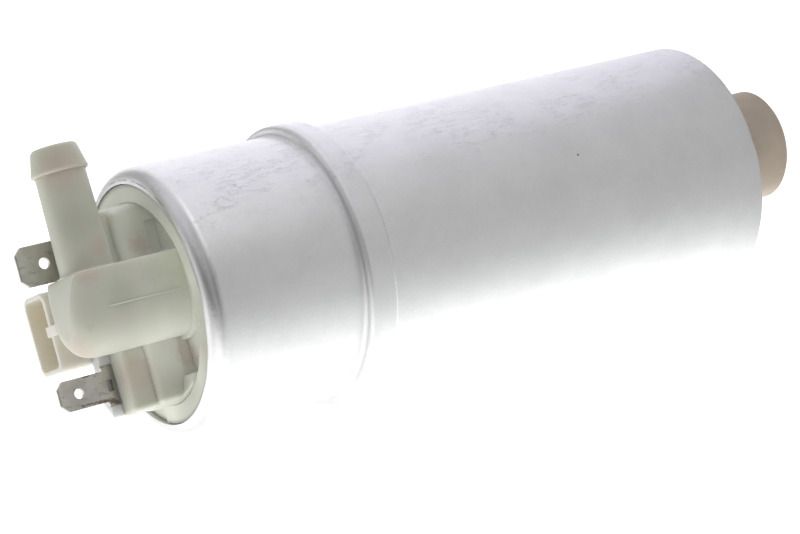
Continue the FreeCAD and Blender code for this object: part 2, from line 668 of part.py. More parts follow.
def leaning_limit(low):
    """The space inside a foot's outer side that curves inwards towards its ledge."""
    height = TOWER_LEAN_HEIGHT
    radius = (height ** 2 + TOWER_LEAN ** 2) / (2 * TOWER_LEAN)
    centre = TOWER_OUTER_R - radius
    start = TOWER_STEP - height
    half = math.asin(height / radius) / 2
    side = (TOWER_OUTER_R, start)
    middle = (centre + radius * math.cos(half), start + radius * math.sin(half))
    end = (TOWER_OUTER_R - TOWER_LEAN, TOWER_STEP)
    return turned([((0, low), (TOWER_OUTER_R, low)), ((TOWER_OUTER_R, low), side), (side, middle, end),
                   (end, (0, TOWER_STEP)), ((0, TOWER_STEP), (0, low))])


def tower(side):
    """One brush tower: a wide foot and a narrower head, its outer side following the can."""
    low = CAP_FACE - CAP_THICK / 2
    foot = block(TOWER_INNER_X, CAN_R, -TOWER_HALF_WIDTH, TOWER_HALF_WIDTH, low, TOWER_STEP)
    foot = foot.common(leaning_limit(low) if side > 0 else cylinder(TOWER_OUTER_R, low, TOWER_STEP))
    head = block(TOWER_INNER_X, CAN_R, -TOWER_HEAD_HALF_WIDTH, TOWER_HEAD_HALF_WIDTH, low, TOWER_TOP)
    head = head.common(cylinder(TOWER_HEAD_R, low, TOWER_TOP))
    solid = rounded_sides(foot).fuse(rounded_sides(head)).removeSplitter()
    slot = block(TOWER_INNER_X, TOWER_INNER_X + TOWER_SLOT_LENGTH, -TOWER_HALF_WIDTH,
                 TOWER_SLOT_DEPTH - TOWER_HALF_WIDTH, CAP_FACE, CAP_FACE + TOWER_SLOT_HEIGHT)
    solid = solid.cut(slot)
    if side < 0:
        solid = solid.mirror(V(0, 0, 0), V(1, 0, 0))
    return solid


def rounded_sides(solid):
    """A tower block with its outer upright edges and the outer edges of its top rounded."""
    far = solid.BoundBox.XMin + TOWER_EDGE_R
    low, top = solid.BoundBox.ZMin, solid.BoundBox.ZMax
    outer = [e for e in solid.Edges if e.CenterOfMass.x > far and e.CenterOfMass.z > low + TOWER_EDGE_R]
    upright = [e for e in outer if e.CenterOfMass.z < top - TOWER_EDGE_R]
    crown = [e for e in outer if e.CenterOfMass.z > top - TOWER_EDGE_R]
    return solid.makeFillet(TOWER_EDGE_R, upright + crown)


def gusset():
    """The raised corner between the foot of the -X tower and the ring."""
    low, top = CAP_FACE - CAP_THICK / 2, CAP_FACE + GUSSET_HEIGHT
    near, far = -TOWER_HALF_WIDTH - GUSSET_REACH, -TOWER_HALF_WIDTH + TOWER_SLOT_DEPTH
    corners = [V(-GUSSET_INNER_X, near, low), V(-GUSSET_INNER_X, near, top - GUSSET_FALL),
               V(-TOWER_OUTER_R, near, top), V(-TOWER_OUTER_R, near, low)]
    wedge = Part.Face(Part.makePolygon(corners + corners[:1])).extrude(V(0, far - near, 0))
    return wedge.common(cylinder(TOWER_OUTER_R, low, top))


def guide(side):
    """The rectangular brush guide that hangs under the cap's floor."""
    half = GUIDE_SIDE / 2 + GUIDE_WALL
    x = side * BRUSH_X
    return block(x - half, x + half, -half, half, CAP_FLOOR - GUIDE_DROP, CAP_FACE - CAP_THICK / 2)


def guide_bore(side):
    half = GUIDE_SIDE / 2
    x = side * BRUSH_X
    return block(x - half, x + half, -half, half, CAP_FLOOR - GUIDE_DROP, SPRING_TOP)


def lead_hole(side):
    return cylinder(LEAD_R + LOOSE, SPRING_TOP, TOWER_TOP, side * BRUSH_X, LEAD_Y)


def tang(x, foot, gap):
    """The tang under the outer end of a blade's foot, or with a gap the slot that it goes into."""
    side = 1 if x > 0 else -1
    middle = x + side * (foot - TANG_WIDTH) / 2
    half = TANG_WIDTH / 2 + gap
    return block(middle - half, middle + half, PLATE_FRONT_Y - gap, PLATE_FRONT_Y + BLADE_THICK + gap,
                 TOWER_TOP - TANG_DEPTH - gap, TOWER_TOP)


def plinth():
    """The low step round the boss's root: round on the -X side, flat on the +X side."""
    r = BOSS_R + PLINTH_STEP
    low, high = CAP_FLOOR, CAP_FACE + PLINTH_HEIGHT
    half = block(-r, 0, BOSS_Y - r, BOSS_Y + r, low, high).common(cylinder(r, low, high, 0, BOSS_Y))
    return half.fuse(block(0, BOSS_FLAT_X + PLINTH_STEP, BOSS_Y - r, BOSS_Y + r, low, high)).removeSplitter()


def boss_ceiling():
    """The space under the boss's domed end, its edge towards the stub rounded."""
    side = BOSS_R + 1
    centre = BOSS_CREST - BOSS_DOME_R

    def crown(x):
        return V(x, BOSS_Y - side, centre + math.sqrt(BOSS_DOME_R ** 2 - (x - BOSS_DOME_X) ** 2))

    left, right = crown(-side), crown(BOSS_FLAT_X)
    foot_left, foot_right = V(left.x, left.y, CAP_FLOOR), V(right.x, right.y, CAP_FLOOR)
    outline = Part.Wire([Part.LineSegment(foot_left, left).toShape(), Part.Arc(left, crown(0), right).toShape(),
                         Part.LineSegment(right, foot_right).toShape(),
                         Part.LineSegment(foot_right, foot_left).toShape()])
    space = Part.Face(outline).extrude(V(0, 2 * side, 0))
    edge = [e for e in space.Edges if abs(e.CenterOfMass.x - right.x) < 1e-6
            and abs(e.CenterOfMass.z - right.z) < 1e-6]
    return space.makeFillet(BOSS_EDGE_R, edge)


def outlet_boss():
    """The upright of the elbow: a U section whose shoulder runs round it, under a domed end."""
    box = block(0, BOSS_FLAT_X, BOSS_Y - BOSS_R, BOSS_Y + BOSS_R, CAP_FLOOR, BOSS_CREST)
    top = [e for e in box.Edges if abs(e.CenterOfMass.z - BOSS_CREST) < 1e-6
           and abs(abs(e.CenterOfMass.y - BOSS_Y) - BOSS_R) < 1e-6]
    box = box.makeFillet(BOSS_SHOULDER_R, top)
    bend = math.sqrt(0.5)
    shoulder = BOSS_CREST - BOSS_SHOULDER_R
    inner = BOSS_R - BOSS_SHOULDER_R
    turn = [V(BOSS_R, 0, shoulder), V(inner + BOSS_SHOULDER_R * bend, 0, shoulder + BOSS_SHOULDER_R * bend),
            V(inner, 0, BOSS_CREST)]
    root, foot = V(0, 0, CAP_FLOOR), V(BOSS_R, 0, CAP_FLOOR)
    crest = V(0, 0, BOSS_CREST)
    outline = Part.Wire([Part.LineSegment(root, foot).toShape(), Part.LineSegment(foot, turn[0]).toShape(),
                         Part.Arc(*turn).toShape(), Part.LineSegment(turn[2], crest).toShape(),
                         Part.LineSegment(crest, root).toShape()])
    half = Part.Face(outline).revolve(V(0, 0, 0), UP, 180)
    half.rotate(V(0, 0, 0), UP, 90)
    half.translate(V(0, BOSS_Y, 0))
    upright = box.fuse(half).removeSplitter()
    return upright.common(boss_ceiling())


def along_x(solid, y, z):
    """Lays a solid turned about Z along +X, on the line at y and z."""
    solid.rotate(V(0, 0, 0), V(0, 1, 0), 90)
    solid.translate(V(0, y, z))
    return solid


def hose_stub():
    """The stub with a flared root, a slightly tapered neck and one barb at its tip."""
    neck, edge, flare = STUB_BARB_X, STUB_EDGE, STUB_FLARE
    bend = flare * (1 - math.sqrt(0.5))
    wide = (STUB_ROOT_R + flare, BOSS_FLAT_X)
    slim = (STUB_ROOT_R, BOSS_FLAT_X + flare)
    corners = [slim, (STUB_NECK_R, neck), (STUB_BARB_R - edge / 3, neck), (STUB_BARB_R, neck + edge),
               (STUB_TIP_R + edge / 2, STUB_TIP_X - edge), (STUB_TIP_R - edge / 2, STUB_TIP_X), (0, STUB_TIP_X),
               (0, 0), (STUB_ROOT_R, 0), (STUB_ROOT_R, BOSS_FLAT_X - BOSS_EDGE_R)]
    outline = [(a, b) for a, b in zip(corners, corners[1:])]
    outline += [(corners[-1], wide), (wide, (STUB_ROOT_R + bend, BOSS_FLAT_X + bend), slim)]
    return along_x(turned(outline), BOSS_Y, STUB_Z)


def stub_bore():
    return along_x(cylinder(STUB_BORE_R, VALVE_NECK_R - STUB_BORE_R, STUB_TIP_X + 1), BOSS_Y, STUB_Z)


def outlet_cap():
    """The moulded cap: flange under the crimp, towers, boss, stub, bearing hub and brush guides."""
    inside = CRIMP_R - CAN_WALL - FIT
    half = CRIMP_ANGLE / 2

    def curl(angle):
        return (CRIMP_CENTRE_R + inside * math.cos(angle), CRIMP_CENTRE_Z + inside * math.sin(angle))

    skirt_r = INNER_R - CAP_SKIRT_WALL
    edge = curl(CRIMP_ANGLE)
    dish = ((CAP_DISH_R + CAP_RING_R) / 2, (CAP_FACE + CAP_RING_TOP) / 2 - CAP_DISH_SAG)
    core_r = CAP_HUB_R / 2
    cap = turned([
        ((core_r, CAP_FACE), (CAP_DISH_R, CAP_FACE)),
        ((CAP_DISH_R, CAP_FACE), dish, (CAP_RING_R, CAP_RING_TOP)),
        ((CAP_RING_R, CAP_RING_TOP), (CAP_RING_EDGE_R, CAP_RING_TOP)),
        ((CAP_RING_EDGE_R, CAP_RING_TOP), edge),
        (edge, curl(half), curl(0)),
        (curl(0), (INNER_R, FLUX_RING_TOP)),
        ((INNER_R, FLUX_RING_TOP), (skirt_r, FLUX_RING_TOP)),
        ((skirt_r, FLUX_RING_TOP), (skirt_r, CAP_FLOOR)),
        ((skirt_r, CAP_FLOOR), (core_r, CAP_FLOOR)),
        ((core_r, CAP_FLOOR), (core_r, CAP_FACE)),
    ])
    relief_boss = cylinder(RELIEF_BOSS_R, CAP_FLOOR, RELIEF_BOSS_TOP, RELIEF_X, RELIEF_Y)
    hub = cylinder(CAP_HUB_R, CAP_HUB_LOW, CAP_FACE)
    for piece in (hub, plinth(), outlet_boss(), hose_stub(), relief_boss, gusset(), tower(1), guide(1), tower(-1),
                  guide(-1)):
        cap = cap.fuse(piece)
    cap = cap.removeSplitter()
    bearing_seat = cylinder(BEARING_R + FIT, CAP_HUB_LOW, CAP_HUB_LOW + UPPER_BEARING_LENGTH)
    shaft_room = cylinder(SHAFT_R + 2 * LOOSE, CAP_HUB_LOW, SHAFT_TOP + LOOSE)
    valve_bore = cylinder(VALVE_BORE_R, CAP_HUB_LOW, VALVE_SHOULDER, 0, VALVE_Y)
    valve_neck = cylinder(VALVE_NECK_R, VALVE_SHOULDER, STUB_Z + VALVE_NECK_OVERRUN, 0, VALVE_Y)
    relief_port = cylinder(RELIEF_PORT_R, CAP_FLOOR, RELIEF_SEAT_Z, RELIEF_X, RELIEF_Y)
    relief_bore = cylinder(RELIEF_BORE_R, RELIEF_SEAT_Z, RELIEF_BOSS_TOP, RELIEF_X, RELIEF_Y)
    notch_low, notch_high = CAP_RING_TOP - CAP_NOTCH_DEPTH, CAP_RING_TOP + 1
    notch = block(-CAN_R, 0, CAP_NOTCH_NEAR_Y, CAP_NOTCH_NEAR_Y + CAP_NOTCH_WIDTH, notch_low, notch_high)
    notch = notch.cut(cylinder(CAP_RING_R, notch_low, notch_high))
    cuts = [bearing_seat, shaft_room, valve_bore, valve_neck, stub_bore(), relief_port, relief_bore,
            seal_groove(OUTLET_SEAL_Z), notch]
    for side in (1, -1):
        cuts += [guide_bore(side), lead_hole(side)]
    cuts += [tang(POSITIVE_X, POSITIVE_FOOT, FIT), tang(NEGATIVE_X, NEGATIVE_FOOT, FIT)]
    return cap.cut(cuts)


def terminal_plate():
    """The bar across the towers that holds the blades' feet flush in its front face."""
    back = PLATE_BACK_Y
    end = PLATE_HALF_LENGTH
    outline = [V(-end, PLATE_FRONT_Y, TOWER_TOP), V(end, PLATE_FRONT_Y, TOWER_TOP),
               V(end - PLATE_CORNER, back, TOWER_TOP), V(PLATE_CORNER - end, back, TOWER_TOP)]
    plate = Part.Face(Part.makePolygon(outline + outline[:1])).extrude(UP * PLATE_THICK)
    for x, foot in ((POSITIVE_X, POSITIVE_FOOT), (NEGATIVE_X, NEGATIVE_FOOT)):
        half = foot / 2 + FIT
        plate = plate.cut(block(x - half, x + half, PLATE_FRONT_Y, PLATE_FRONT_Y + BLADE_THICK + FIT, TOWER_TOP,
                                PLATE_FACE))
    return plate


def blade(x, width, length, hole_r, set_back, foot):
    """A flat blade with a bevelled tip and a hole, on a wider lanced foot with a tang into the tower."""
    y = PLATE_FRONT_Y
    root = PLATE_FACE
    tip = root + length
    corner = BLADE_TIP_CHAMFER
    half = width / 2
    ring = [V(x - half, y, root), V(x + half, y, root), V(x + half, y, tip - corner), V(x + half - corner, y, tip),
            V(x - half + corner, y, tip), V(x - half, y, tip - corner)]
    flat = Part.Face(Part.makePolygon(ring + ring[:1])).extrude(V(0, BLADE_THICK, 0))
    ends = [e for e in flat.Edges if abs(e.CenterOfMass.z - tip) < 1e-6 and e.Length > BLADE_THICK + LOOSE]
    flat = flat.makeChamfer(BLADE_TIP_TAPER, ends)
    base = block(x - foot / 2, x + foot / 2, y, y + BLADE_THICK, TOWER_TOP, PLATE_FACE)
    hole = Part.makeCylinder(hole_r, BLADE_THICK + 2, V(x, y - 1, tip - set_back), V(0, 1, 0))
    lance_z = TOWER_TOP + LANCE_RISE - LANCE_HEIGHT / 2
    lance = block(x - LANCE_WIDTH / 2, x + LANCE_WIDTH / 2, y - 1, y + BLADE_THICK + 1, lance_z,
                  lance_z + LANCE_HEIGHT)
    return flat.fuse([base, tang(x, foot, 0)]).cut([hole, lance]).removeSplitter()


def rounded_block(x_low, x_high, y_low, y_high, low, high, corner):
    solid = block(x_low, x_high, y_low, y_high, low, high)
    upright = [e for e in solid.Edges if abs(e.tangentAt(e.FirstParameter).z) > 0.9]
    return solid.makeFillet(corner, upright)


def connector_shroud():
    """The plug's guide: a keyed pocket open outwards, stepped over the terminal plate's back edge."""
    wall = SHROUD_WALL
    near, far = SHROUD_NEAR_Y, SHROUD_NEAR_Y + SHROUD_DEPTH
    ledge = PLATE_FACE + FIT
    back = PLATE_BACK_Y + FIT
    upper = rounded_block(SHROUD_LOW_X, SHROUD_HIGH_X, near, far, ledge, SHROUD_MOUTH, SHROUD_CORNER)
    rim = [e for e in upper.Edges if abs(e.CenterOfMass.z - SHROUD_MOUTH) < 1e-6]
    upper = upper.makeFillet(SHROUD_RIM_R, rim)
    lower = rounded_block(SHROUD_LOW_X, SHROUD_HIGH_X, back, far, TOWER_TOP, ledge, SHROUD_CORNER)
    half = TOWER_INNER_X - SHROUD_PEDESTAL_GAP
    pedestal = rounded_block(-half, half, back, far, CAP_FACE, TOWER_TOP, SHROUD_CORNER)
    inner = SHROUD_CORNER - wall
    mouth = rounded_block(SHROUD_LOW_X + wall, SHROUD_HIGH_X - wall, near + wall, far - wall, ledge + wall,
                          SHROUD_MOUTH + 1, inner)
    well = rounded_block(SHROUD_LOW_X + wall, SHROUD_HIGH_X - wall, back + wall, far - wall, SHROUD_FLOOR,
                         ledge + 2 * wall, inner)
    half = SHROUD_KEY_WIDTH / 2
    key = block(SHROUD_KEY_X - half, SHROUD_KEY_X + half, BOSS_Y + BOSS_R + LOOSE, near + wall + SHROUD_KEY_REACH,
                ledge, SHROUD_MOUTH)
    return upper.fuse([lower, pedestal]).cut([mouth, well]).fuse(key).removeSplitter()


def brush(side):
    half = BRUSH_SIDE / 2
    x = side * BRUSH_X
    body = block(x - half, x + half, -half, half, COMMUTATOR_FACE + VALVE_GAP, BRUSH_TOP)
    upright = [e for e in body.Edges if abs(e.Length - BRUSH_LENGTH) < 1e-6]
    return body.makeChamfer(BRUSH_CHAMFER, upright)


def brush_spring(side):
    return coil(side * BRUSH_X, 0, BRUSH_SPRING_R, BRUSH_SPRING_WIRE_R, BRUSH_TOP, SPRING_TOP, BRUSH_SPRING_TURNS)


def brush_lead(side):
    return cylinder(LEAD_R, BRUSH_TOP, TOWER_TOP, side * BRUSH_X, LEAD_Y)


def check_valve_seat():
    low, high, bevel = CAP_FLOOR, VALVE_SEAT_TOP, VALVE_SEAT_BEVEL
    seat = lathe([(VALVE_SEAT_BORE_R, low), (VALVE_BORE_R - FIT, low), (VALVE_BORE_R - FIT, high),
                  (VALVE_SEAT_BORE_R + bevel, high), (VALVE_SEAT_BORE_R, high - bevel)])
    seat.translate(V(0, VALVE_Y, 0))
    return seat


def check_valve_poppet():
    """A cone-nosed poppet on three guide wings, with a stem inside its spring."""
    shut = VALVE_SEAT_TOP + 2 * VALVE_GAP
    bevel = VALVE_SEAT_BEVEL
    top = POPPET_TOP
    body = lathe([(0, shut - bevel), (VALVE_SEAT_BORE_R, shut - bevel), (VALVE_SEAT_BORE_R + bevel, shut),
                  (POPPET_R, shut), (POPPET_R, top), (POPPET_STEM_R, top), (POPPET_STEM_R, top + POPPET_STEM_LENGTH),
                  (0, top + POPPET_STEM_LENGTH)])
    wing = VALVE_BORE_R - SLIDE_FIT
    half = POPPET_WING_WIDTH / 2
    for k in range(3):
        fin = block(0, wing + 1, -half, half, top - POPPET_WING_HEIGHT, top)
        fin = fin.common(cylinder(wing, top - POPPET_WING_HEIGHT, top))
        fin.rotate(V(0, 0, 0), UP, 90 + 120 * k)
        body = body.fuse(fin)
    body = body.removeSplitter()
    body.translate(V(0, VALVE_Y, 0))
    return body


def check_valve_spring():
    return coil(0, VALVE_Y, VALVE_SPRING_R, VALVE_SPRING_WIRE_R, POPPET_TOP, VALVE_SHOULDER, VALVE_SPRING_TURNS)


def ball_centre_z():
    return RELIEF_SEAT_Z + math.sqrt(RELIEF_BALL_R ** 2 - RELIEF_PORT_R ** 2) + VALVE_GAP


def relief_ball():
    return Part.makeSphere(RELIEF_BALL_R, V(RELIEF_X, RELIEF_Y, ball_centre_z()))


def relief_plug():
    return tube(RELIEF_BORE_R - FIT, RELIEF_VENT_R, RELIEF_PLUG_Z, RELIEF_BOSS_TOP, RELIEF_X, RELIEF_Y)


def relief_spring():
    rest = math.sqrt((RELIEF_BALL_R + RELIEF_SPRING_WIRE_R) ** 2 - RELIEF_SPRING_R ** 2)
    low = ball_centre_z() + rest - RELIEF_SPRING_WIRE_R + VALVE_GAP
    return coil(RELIEF_X, RELIEF_Y, RELIEF_SPRING_R, RELIEF_SPRING_WIRE_R, low, RELIEF_PLUG_Z, RELIEF_SPRING_TURNS)


def parts():
    made = {
        "can": can(),
        "inlet_cover": inlet_cover(),
        "suction_nipple": suction_nipple(),
        "inlet_seal": seal(INLET_SEAL_Z),
        "pump_ring": pump_ring(),
        "inner_rotor": inner_rotor(),
        "outer_rotor": outer_rotor(),
        "drive_coupling": drive_coupling(),
        "port_plate": port_plate(),
        "lower_bearing": bearing(PLATE_TOP - LOWER_BEARING_LENGTH, PLATE_TOP),
        "upper_bearing": bearing(CAP_HUB_LOW, CAP_HUB_LOW + UPPER_BEARING_LENGTH),
        "flux_ring": flux_ring(),
        "magnet_right": magnet(0),
        "magnet_left": magnet(180),
        "magnet_clip_front": magnet_clip(-90),
        "magnet_clip_back": magnet_clip(90),
        "armature_shaft": armature_shaft(),
        "armature_core": armature_core(),
        "armature_winding": armature_winding(),
        "commutator_hub": commutator_hub(),
        "outlet_cap": outlet_cap(),
        "outlet_seal": seal(OUTLET_SEAL_Z),
        "terminal_plate": terminal_plate(),
        "positive_blade": blade(POSITIVE_X, POSITIVE_WIDTH, POSITIVE_LENGTH, POSITIVE_HOLE_R,
                                POSITIVE_HOLE_SET_BACK, POSITIVE_FOOT),
        "negative_blade": blade(NEGATIVE_X, NEGATIVE_WIDTH, NEGATIVE_LENGTH, NEGATIVE_HOLE_R,
                                NEGATIVE_HOLE_SET_BACK, NEGATIVE_FOOT),
        "connector_shroud": connector_shroud(),
        "check_valve_seat": check_valve_seat(),
        "check_valve_poppet": check_valve_poppet(),
        "check_valve_spring": check_valve_spring(),
        "relief_ball": relief_ball(),
        "relief_plug": relief_plug(),
        "relief_spring": relief_spring(),
    }
    for name, side in (("positive", 1), ("negative", -1)):
        made[f"{name}_brush"] = brush(side)
        made[f"{name}_brush_spring"] = brush_spring(side)
        made[f"{name}_brush_lead"] = brush_lead(side)
    for number, place in enumerate(dowel_places(), 1):
        made[f"dowel_pin_{number}"] = dowel_pin(place)
    for number in range(1, SEGMENT_COUNT + 1):
        made[f"commutator_segment_{number}"] = commutator_segment(number)
    return made


def main():
    os.makedirs("parts", exist_ok=True)
    for name, shape in parts().items():
        solids = shape.Solids
        shape = solids[0] if len(solids) == 1 else shape
        if not shape.isValid() or len(solids) != 1 or shape.Volume <= 0:
            print("check", name, shape.isValid(), len(solids), round(shape.Volume, 2))
        shape.exportStep(f"parts/{name}.step")
    print("parts written")


main()
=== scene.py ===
import math

import bpy
from bpy.props import FloatProperty, FloatVectorProperty, PointerProperty
from mathutils import Matrix, Vector


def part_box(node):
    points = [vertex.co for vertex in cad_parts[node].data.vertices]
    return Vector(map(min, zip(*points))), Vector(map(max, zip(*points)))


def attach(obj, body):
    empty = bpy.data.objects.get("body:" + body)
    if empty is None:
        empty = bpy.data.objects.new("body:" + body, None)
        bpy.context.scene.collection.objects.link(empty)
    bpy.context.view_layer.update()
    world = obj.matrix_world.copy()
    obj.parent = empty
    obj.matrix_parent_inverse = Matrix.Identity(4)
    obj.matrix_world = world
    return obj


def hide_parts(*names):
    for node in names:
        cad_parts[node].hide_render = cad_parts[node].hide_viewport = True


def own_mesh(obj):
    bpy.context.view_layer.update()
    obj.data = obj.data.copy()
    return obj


bl_info = {
    "name": "Electric fuel pump",
    "version": (1, 0, 0),
    "blender": (4, 5, 0),
    "location": "View3D > Sidebar > Fuel pump",
    "description": "Finishes, small details, light and camera for an in-tank electric fuel pump",
    "category": "Add Mesh",
}

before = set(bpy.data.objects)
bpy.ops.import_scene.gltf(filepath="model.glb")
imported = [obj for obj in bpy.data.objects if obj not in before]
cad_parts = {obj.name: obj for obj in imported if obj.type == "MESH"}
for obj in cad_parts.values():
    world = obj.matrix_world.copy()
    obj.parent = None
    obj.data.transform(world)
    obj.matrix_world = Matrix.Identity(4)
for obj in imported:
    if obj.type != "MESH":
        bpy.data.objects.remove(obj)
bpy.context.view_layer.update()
MM = 0.001


def grey(level):
    """An even grey as linear RGBA."""
    return (level, level, level, 1.0)


# Heights on the can in millimetres above its suction rim: the bead's foot towards the outlet, and where the
# crimp begins to roll over
BEAD_FOOT = 79.0
CRIMP_FROM = 102.8
# Distances from the can's axis in millimetres: the lip's inner edge, and the line that the roller left on it
LIP_EDGE = 19.2
ROLLER_LINE = 19.75
# Where marks fade in, as the first and last millimetre of the fade along X or Z: the roller's line, the
# handled side of the can, and the painted shade at the cap's free ends
ROLLER_LINE_X = (4.0, 8.0)
ROLLER_LINE_Z = (105.6, 105.8)
HANDLED_X = (6.0, 12.0)
PAINTED_SHADE_Z = (107.0, 115.0)
PAINTED_SHADE_STUB_X = (8.0, 14.0)
# Where marks fade out on the way up: the painted shadow in the cap's corner by the lip, and the painted
# shadow at the blades' feet
LIP_SHADOW_Z = (106.0, 106.5)
BLADE_FOOT_SHADOW_Z = (114.7, 115.5)

# Marks as x, y, z and radius in millimetres: dirt on the can, and then on the cap the fuel's stains, smudges,
# patches of painted light where the cap lies in shade, and spots of painted shade where it catches too much
# light
DIRT_SPECKS = [(5.3, -20.8, 34.8, 0.26)]
PINK_STAINS = [(22.5, -9.0, 118.0, 5.0), (-10.0, -3.6, 112.4, 4.2), (-9.0, -4.7, 104.0, 3.0),
               (9.0, -5.2, 107.0, 2.6), (6.5, -11.8, 119.5, 3.0), (-4.5, -6.5, 121.5, 4.0),
               (9.9, -9.3, 115.5, 2.4)]
GREY_SMUDGES = [(-1.9, -10.8, 121.1, 0.9), (1.8, -11.8, 115.0, 3.5), (4.0, -11.8, 109.0, 3.0),
                (14.0, -9.5, 118.0, 4.0)]
# Patches of painted light, where the cap lies in shade
PAINTED_LIGHT_PATCHES = [(10.0, -4.5, 106.0, 11.0), (-9.0, -4.7, 104.5, 11.0)]
# Spots of painted shade, where the cap catches too much light
PAINTED_SHADE_SPOTS = [(-16.5, -4.5, 109.0, 8.0), (-7.0, -17.5, 105.3, 9.0)]
# Rust along the narrow blade's sheared edges, each from and to a place, and how far it spreads
RUST = [((-7.0, 0.8, 115.4), (-8.0, 0.8, 117.2), 0.42), ((-8.1, 0.8, 117.2), (-8.3, 0.8, 119.4), 0.26),
        ((-12.65, 0.8, 120.8), (-12.55, 0.8, 118.0), 0.20), ((-12.6, 0.8, 118.0), (-12.9, 0.8, 115.9), 0.32),
        ((-12.9, 0.8, 115.9), (-13.3, 0.8, 115.0), 0.60)]
# Of a mark's radius, the part that it fills before it fades, for round marks and for streaks
SPOT_CORE = 0.3
STREAK_CORE = 0.4
# How many waves the noise that unsettles a mark's edge has in the width that the edge wanders, and how far
# the noise swings from its middle
EDGE_WAVES = 0.6
NOISE_SWING = 0.25

# The mould's parting line on the boss, in millimetres: its foot, its top, and its place across
PARTING_FOOT = 104.4
PARTING_TOP = 117.6
PARTING_PLACE = (0.55, -11.80)

# The wound pieces: the CAD node, the joint and its travel in millimetres, and the wire's
# radius in millimetres, turns and strands
SPRINGS = [("positive_brush_spring", "positive_brush_lift", 3.0, 0.2, 7, 1),
           ("negative_brush_spring", "negative_brush_lift", 3.0, 0.2, 7, 1),
           ("check_valve_spring", "check_valve_lift", 1.5, 0.18, 5, 1),
           ("relief_spring", "relief_valve_lift", 0.8, 0.16, 4, 1)]
LEADS = [("positive_brush_lead", "positive_brush_lift", 3.0, 0.138, 5, 3),
         ("negative_brush_lead", "negative_brush_lift", 3.0, 0.138, 5, 3)]

# Milky plastic: its IOR, and how red, green and blue light spread in it
PLASTIC_IOR = 1.48
MILKY = (1.0, 0.95, 0.8)
# Bare copper, its pale and its dark tone
COPPER_COLOURS = ("#C98058", "#A9623F")

# The floor's radius in metres, and its glow by direction, in turns from -X by way of -Y, +X and +Y
FLOOR_RADIUS = 2.0
GLOW = [(0.0, grey(1.40)), (0.02, grey(1.30)), (0.095, (0.62, 0.65, 0.63, 1.0)), (0.155, grey(0.32)),
        (0.257, grey(0.26)), (0.36, grey(0.31)), (0.415, (0.35, 0.35, 0.36, 1.0)),
        (0.45, (0.56, 0.54, 0.62, 1.0)), (0.568, (0.82, 0.80, 0.90, 1.0)), (0.65, (1.02, 1.01, 1.08, 1.0)),
        (0.72, grey(1.35)), (1.0, grey(1.50))]
# The same far out, where it is white but for a dark and a dim stretch, and the distances in millimetres
# between which the near glow passes into this one
FAR_GLOW = [(0.0, grey(1.4)), (0.10, grey(1.2)), (0.15, grey(0.22)), (0.31, grey(0.22)), (0.35, grey(1.4)),
            (0.42, grey(1.4)), (0.47, grey(0.7)), (0.60, grey(0.8)), (0.70, grey(1.4)), (1.0, grey(1.4))]
FAR_FADE = (290.0, 380.0)
# What the picture itself shows of floor and room: plain white
BACKDROP = grey(1.3)
# What the bright metal mirrors in the room, each with its azimuth, elevation, inner and outer radius in
# degrees: the dark things and how bright they are, and the bright wall on the terminal side
DARK_SPOTS = [(250, 54, 13, 23, 0.05), (265, 78, 14, 24, 0.05), (265, 0, 15, 28, 0.2)]
BRIGHT_WALL = (150, 18, 45, 85)
# The lamps: name, place, aim and size in metres, the setting that holds the power, and the colour
LAMPS = [("terminal_side_light", (-0.42, -0.05, 0.30), (0.0, 0.0, 0.03), (0.5, 0.6), "key_power", "#FFFFFF"),
         ("stub_side_light", (0.42, -0.05, 0.30), (0.0, 0.0, 0.03), (0.5, 0.6), "side_power", "#F4F1FF"),
         ("back_light", (0.0, 0.45, 0.55), (0.0, 0.10, 0.0), (0.9, 0.5), "back_power", "#FFFFFF")]

# The photograph's camera: its focal length in pixels of a picture 800 wide, its place in millimetres, and
# which way the picture's top and the camera's back point
PHOTO_WIDTH = 800
FOCAL_PIXELS = 2763.21
SENSOR_MM = 36.0
CAMERA_PLACE = (-22.615, -390.492, 287.643)
PICTURE_TOP = (0.961311, -0.171115, -0.215871)
CAMERA_BACK = (-0.040914, -0.863665, 0.502403)


def linear(hex_colour):
    """The linear RGBA of an sRGB hex colour."""
    parts = [int(hex_colour[k:k + 2], 16) / 255 for k in (1, 3, 5)]
    return tuple(c / 12.92 if c <= 0.04045 else ((c + 0.055) / 1.055) ** 2.4 for c in parts) + (1.0,)


def plug(tree, node, inputs):
    """Fills a node's inputs, each with a value or by a link from another node's output."""
    for socket, value in inputs.items():
        if isinstance(value, bpy.types.NodeSocket):
            tree.links.new(value, node.inputs[socket])
        else:
            node.inputs[socket].default_value = value


def add(tree, kind, inputs=None, **options):
    """Adds a node with its settings and links."""
    node = tree.nodes.new(kind)
    for name, value in options.items():
        setattr(node, name, value)
    plug(tree, node, inputs or {})
    return node


def ramp(node, stops):
    """Sets a colour ramp's stops from (position, colour) pairs."""
    elements = node.color_ramp.elements
    while len(elements) < len(stops):
        elements.new(1.0)
    for element, (position, colour) in zip(elements, stops):
        element.position = position
        element.color = colour
    return node


def new_finish(name):
    """An empty material of that name, its node tree and its surface shader."""
    material = bpy.data.materials.new(name)
    material.use_nodes = True
    tree = material.node_tree
    tree.nodes.clear()
    shader = add(tree, "ShaderNodeBsdfPrincipled")
    add(tree, "ShaderNodeOutputMaterial", {"Surface": shader.outputs[0]})
    return material, tree, shader


def dress(material, *names):
    """Gives every material slot of these CAD nodes the finish."""
    for name in names:
        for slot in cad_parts[name].material_slots:
            slot.material = material


def stretched(tree, scale_xyz):
    """Object coordinates in millimetres, stretched by a factor on each axis."""
    place = add(tree, "ShaderNodeTexCoord")
    return add(tree, "ShaderNodeMapping", {"Vector": place.outputs["Object"],
                                           "Scale": [k / MM for k in scale_xyz]}).outputs[0]


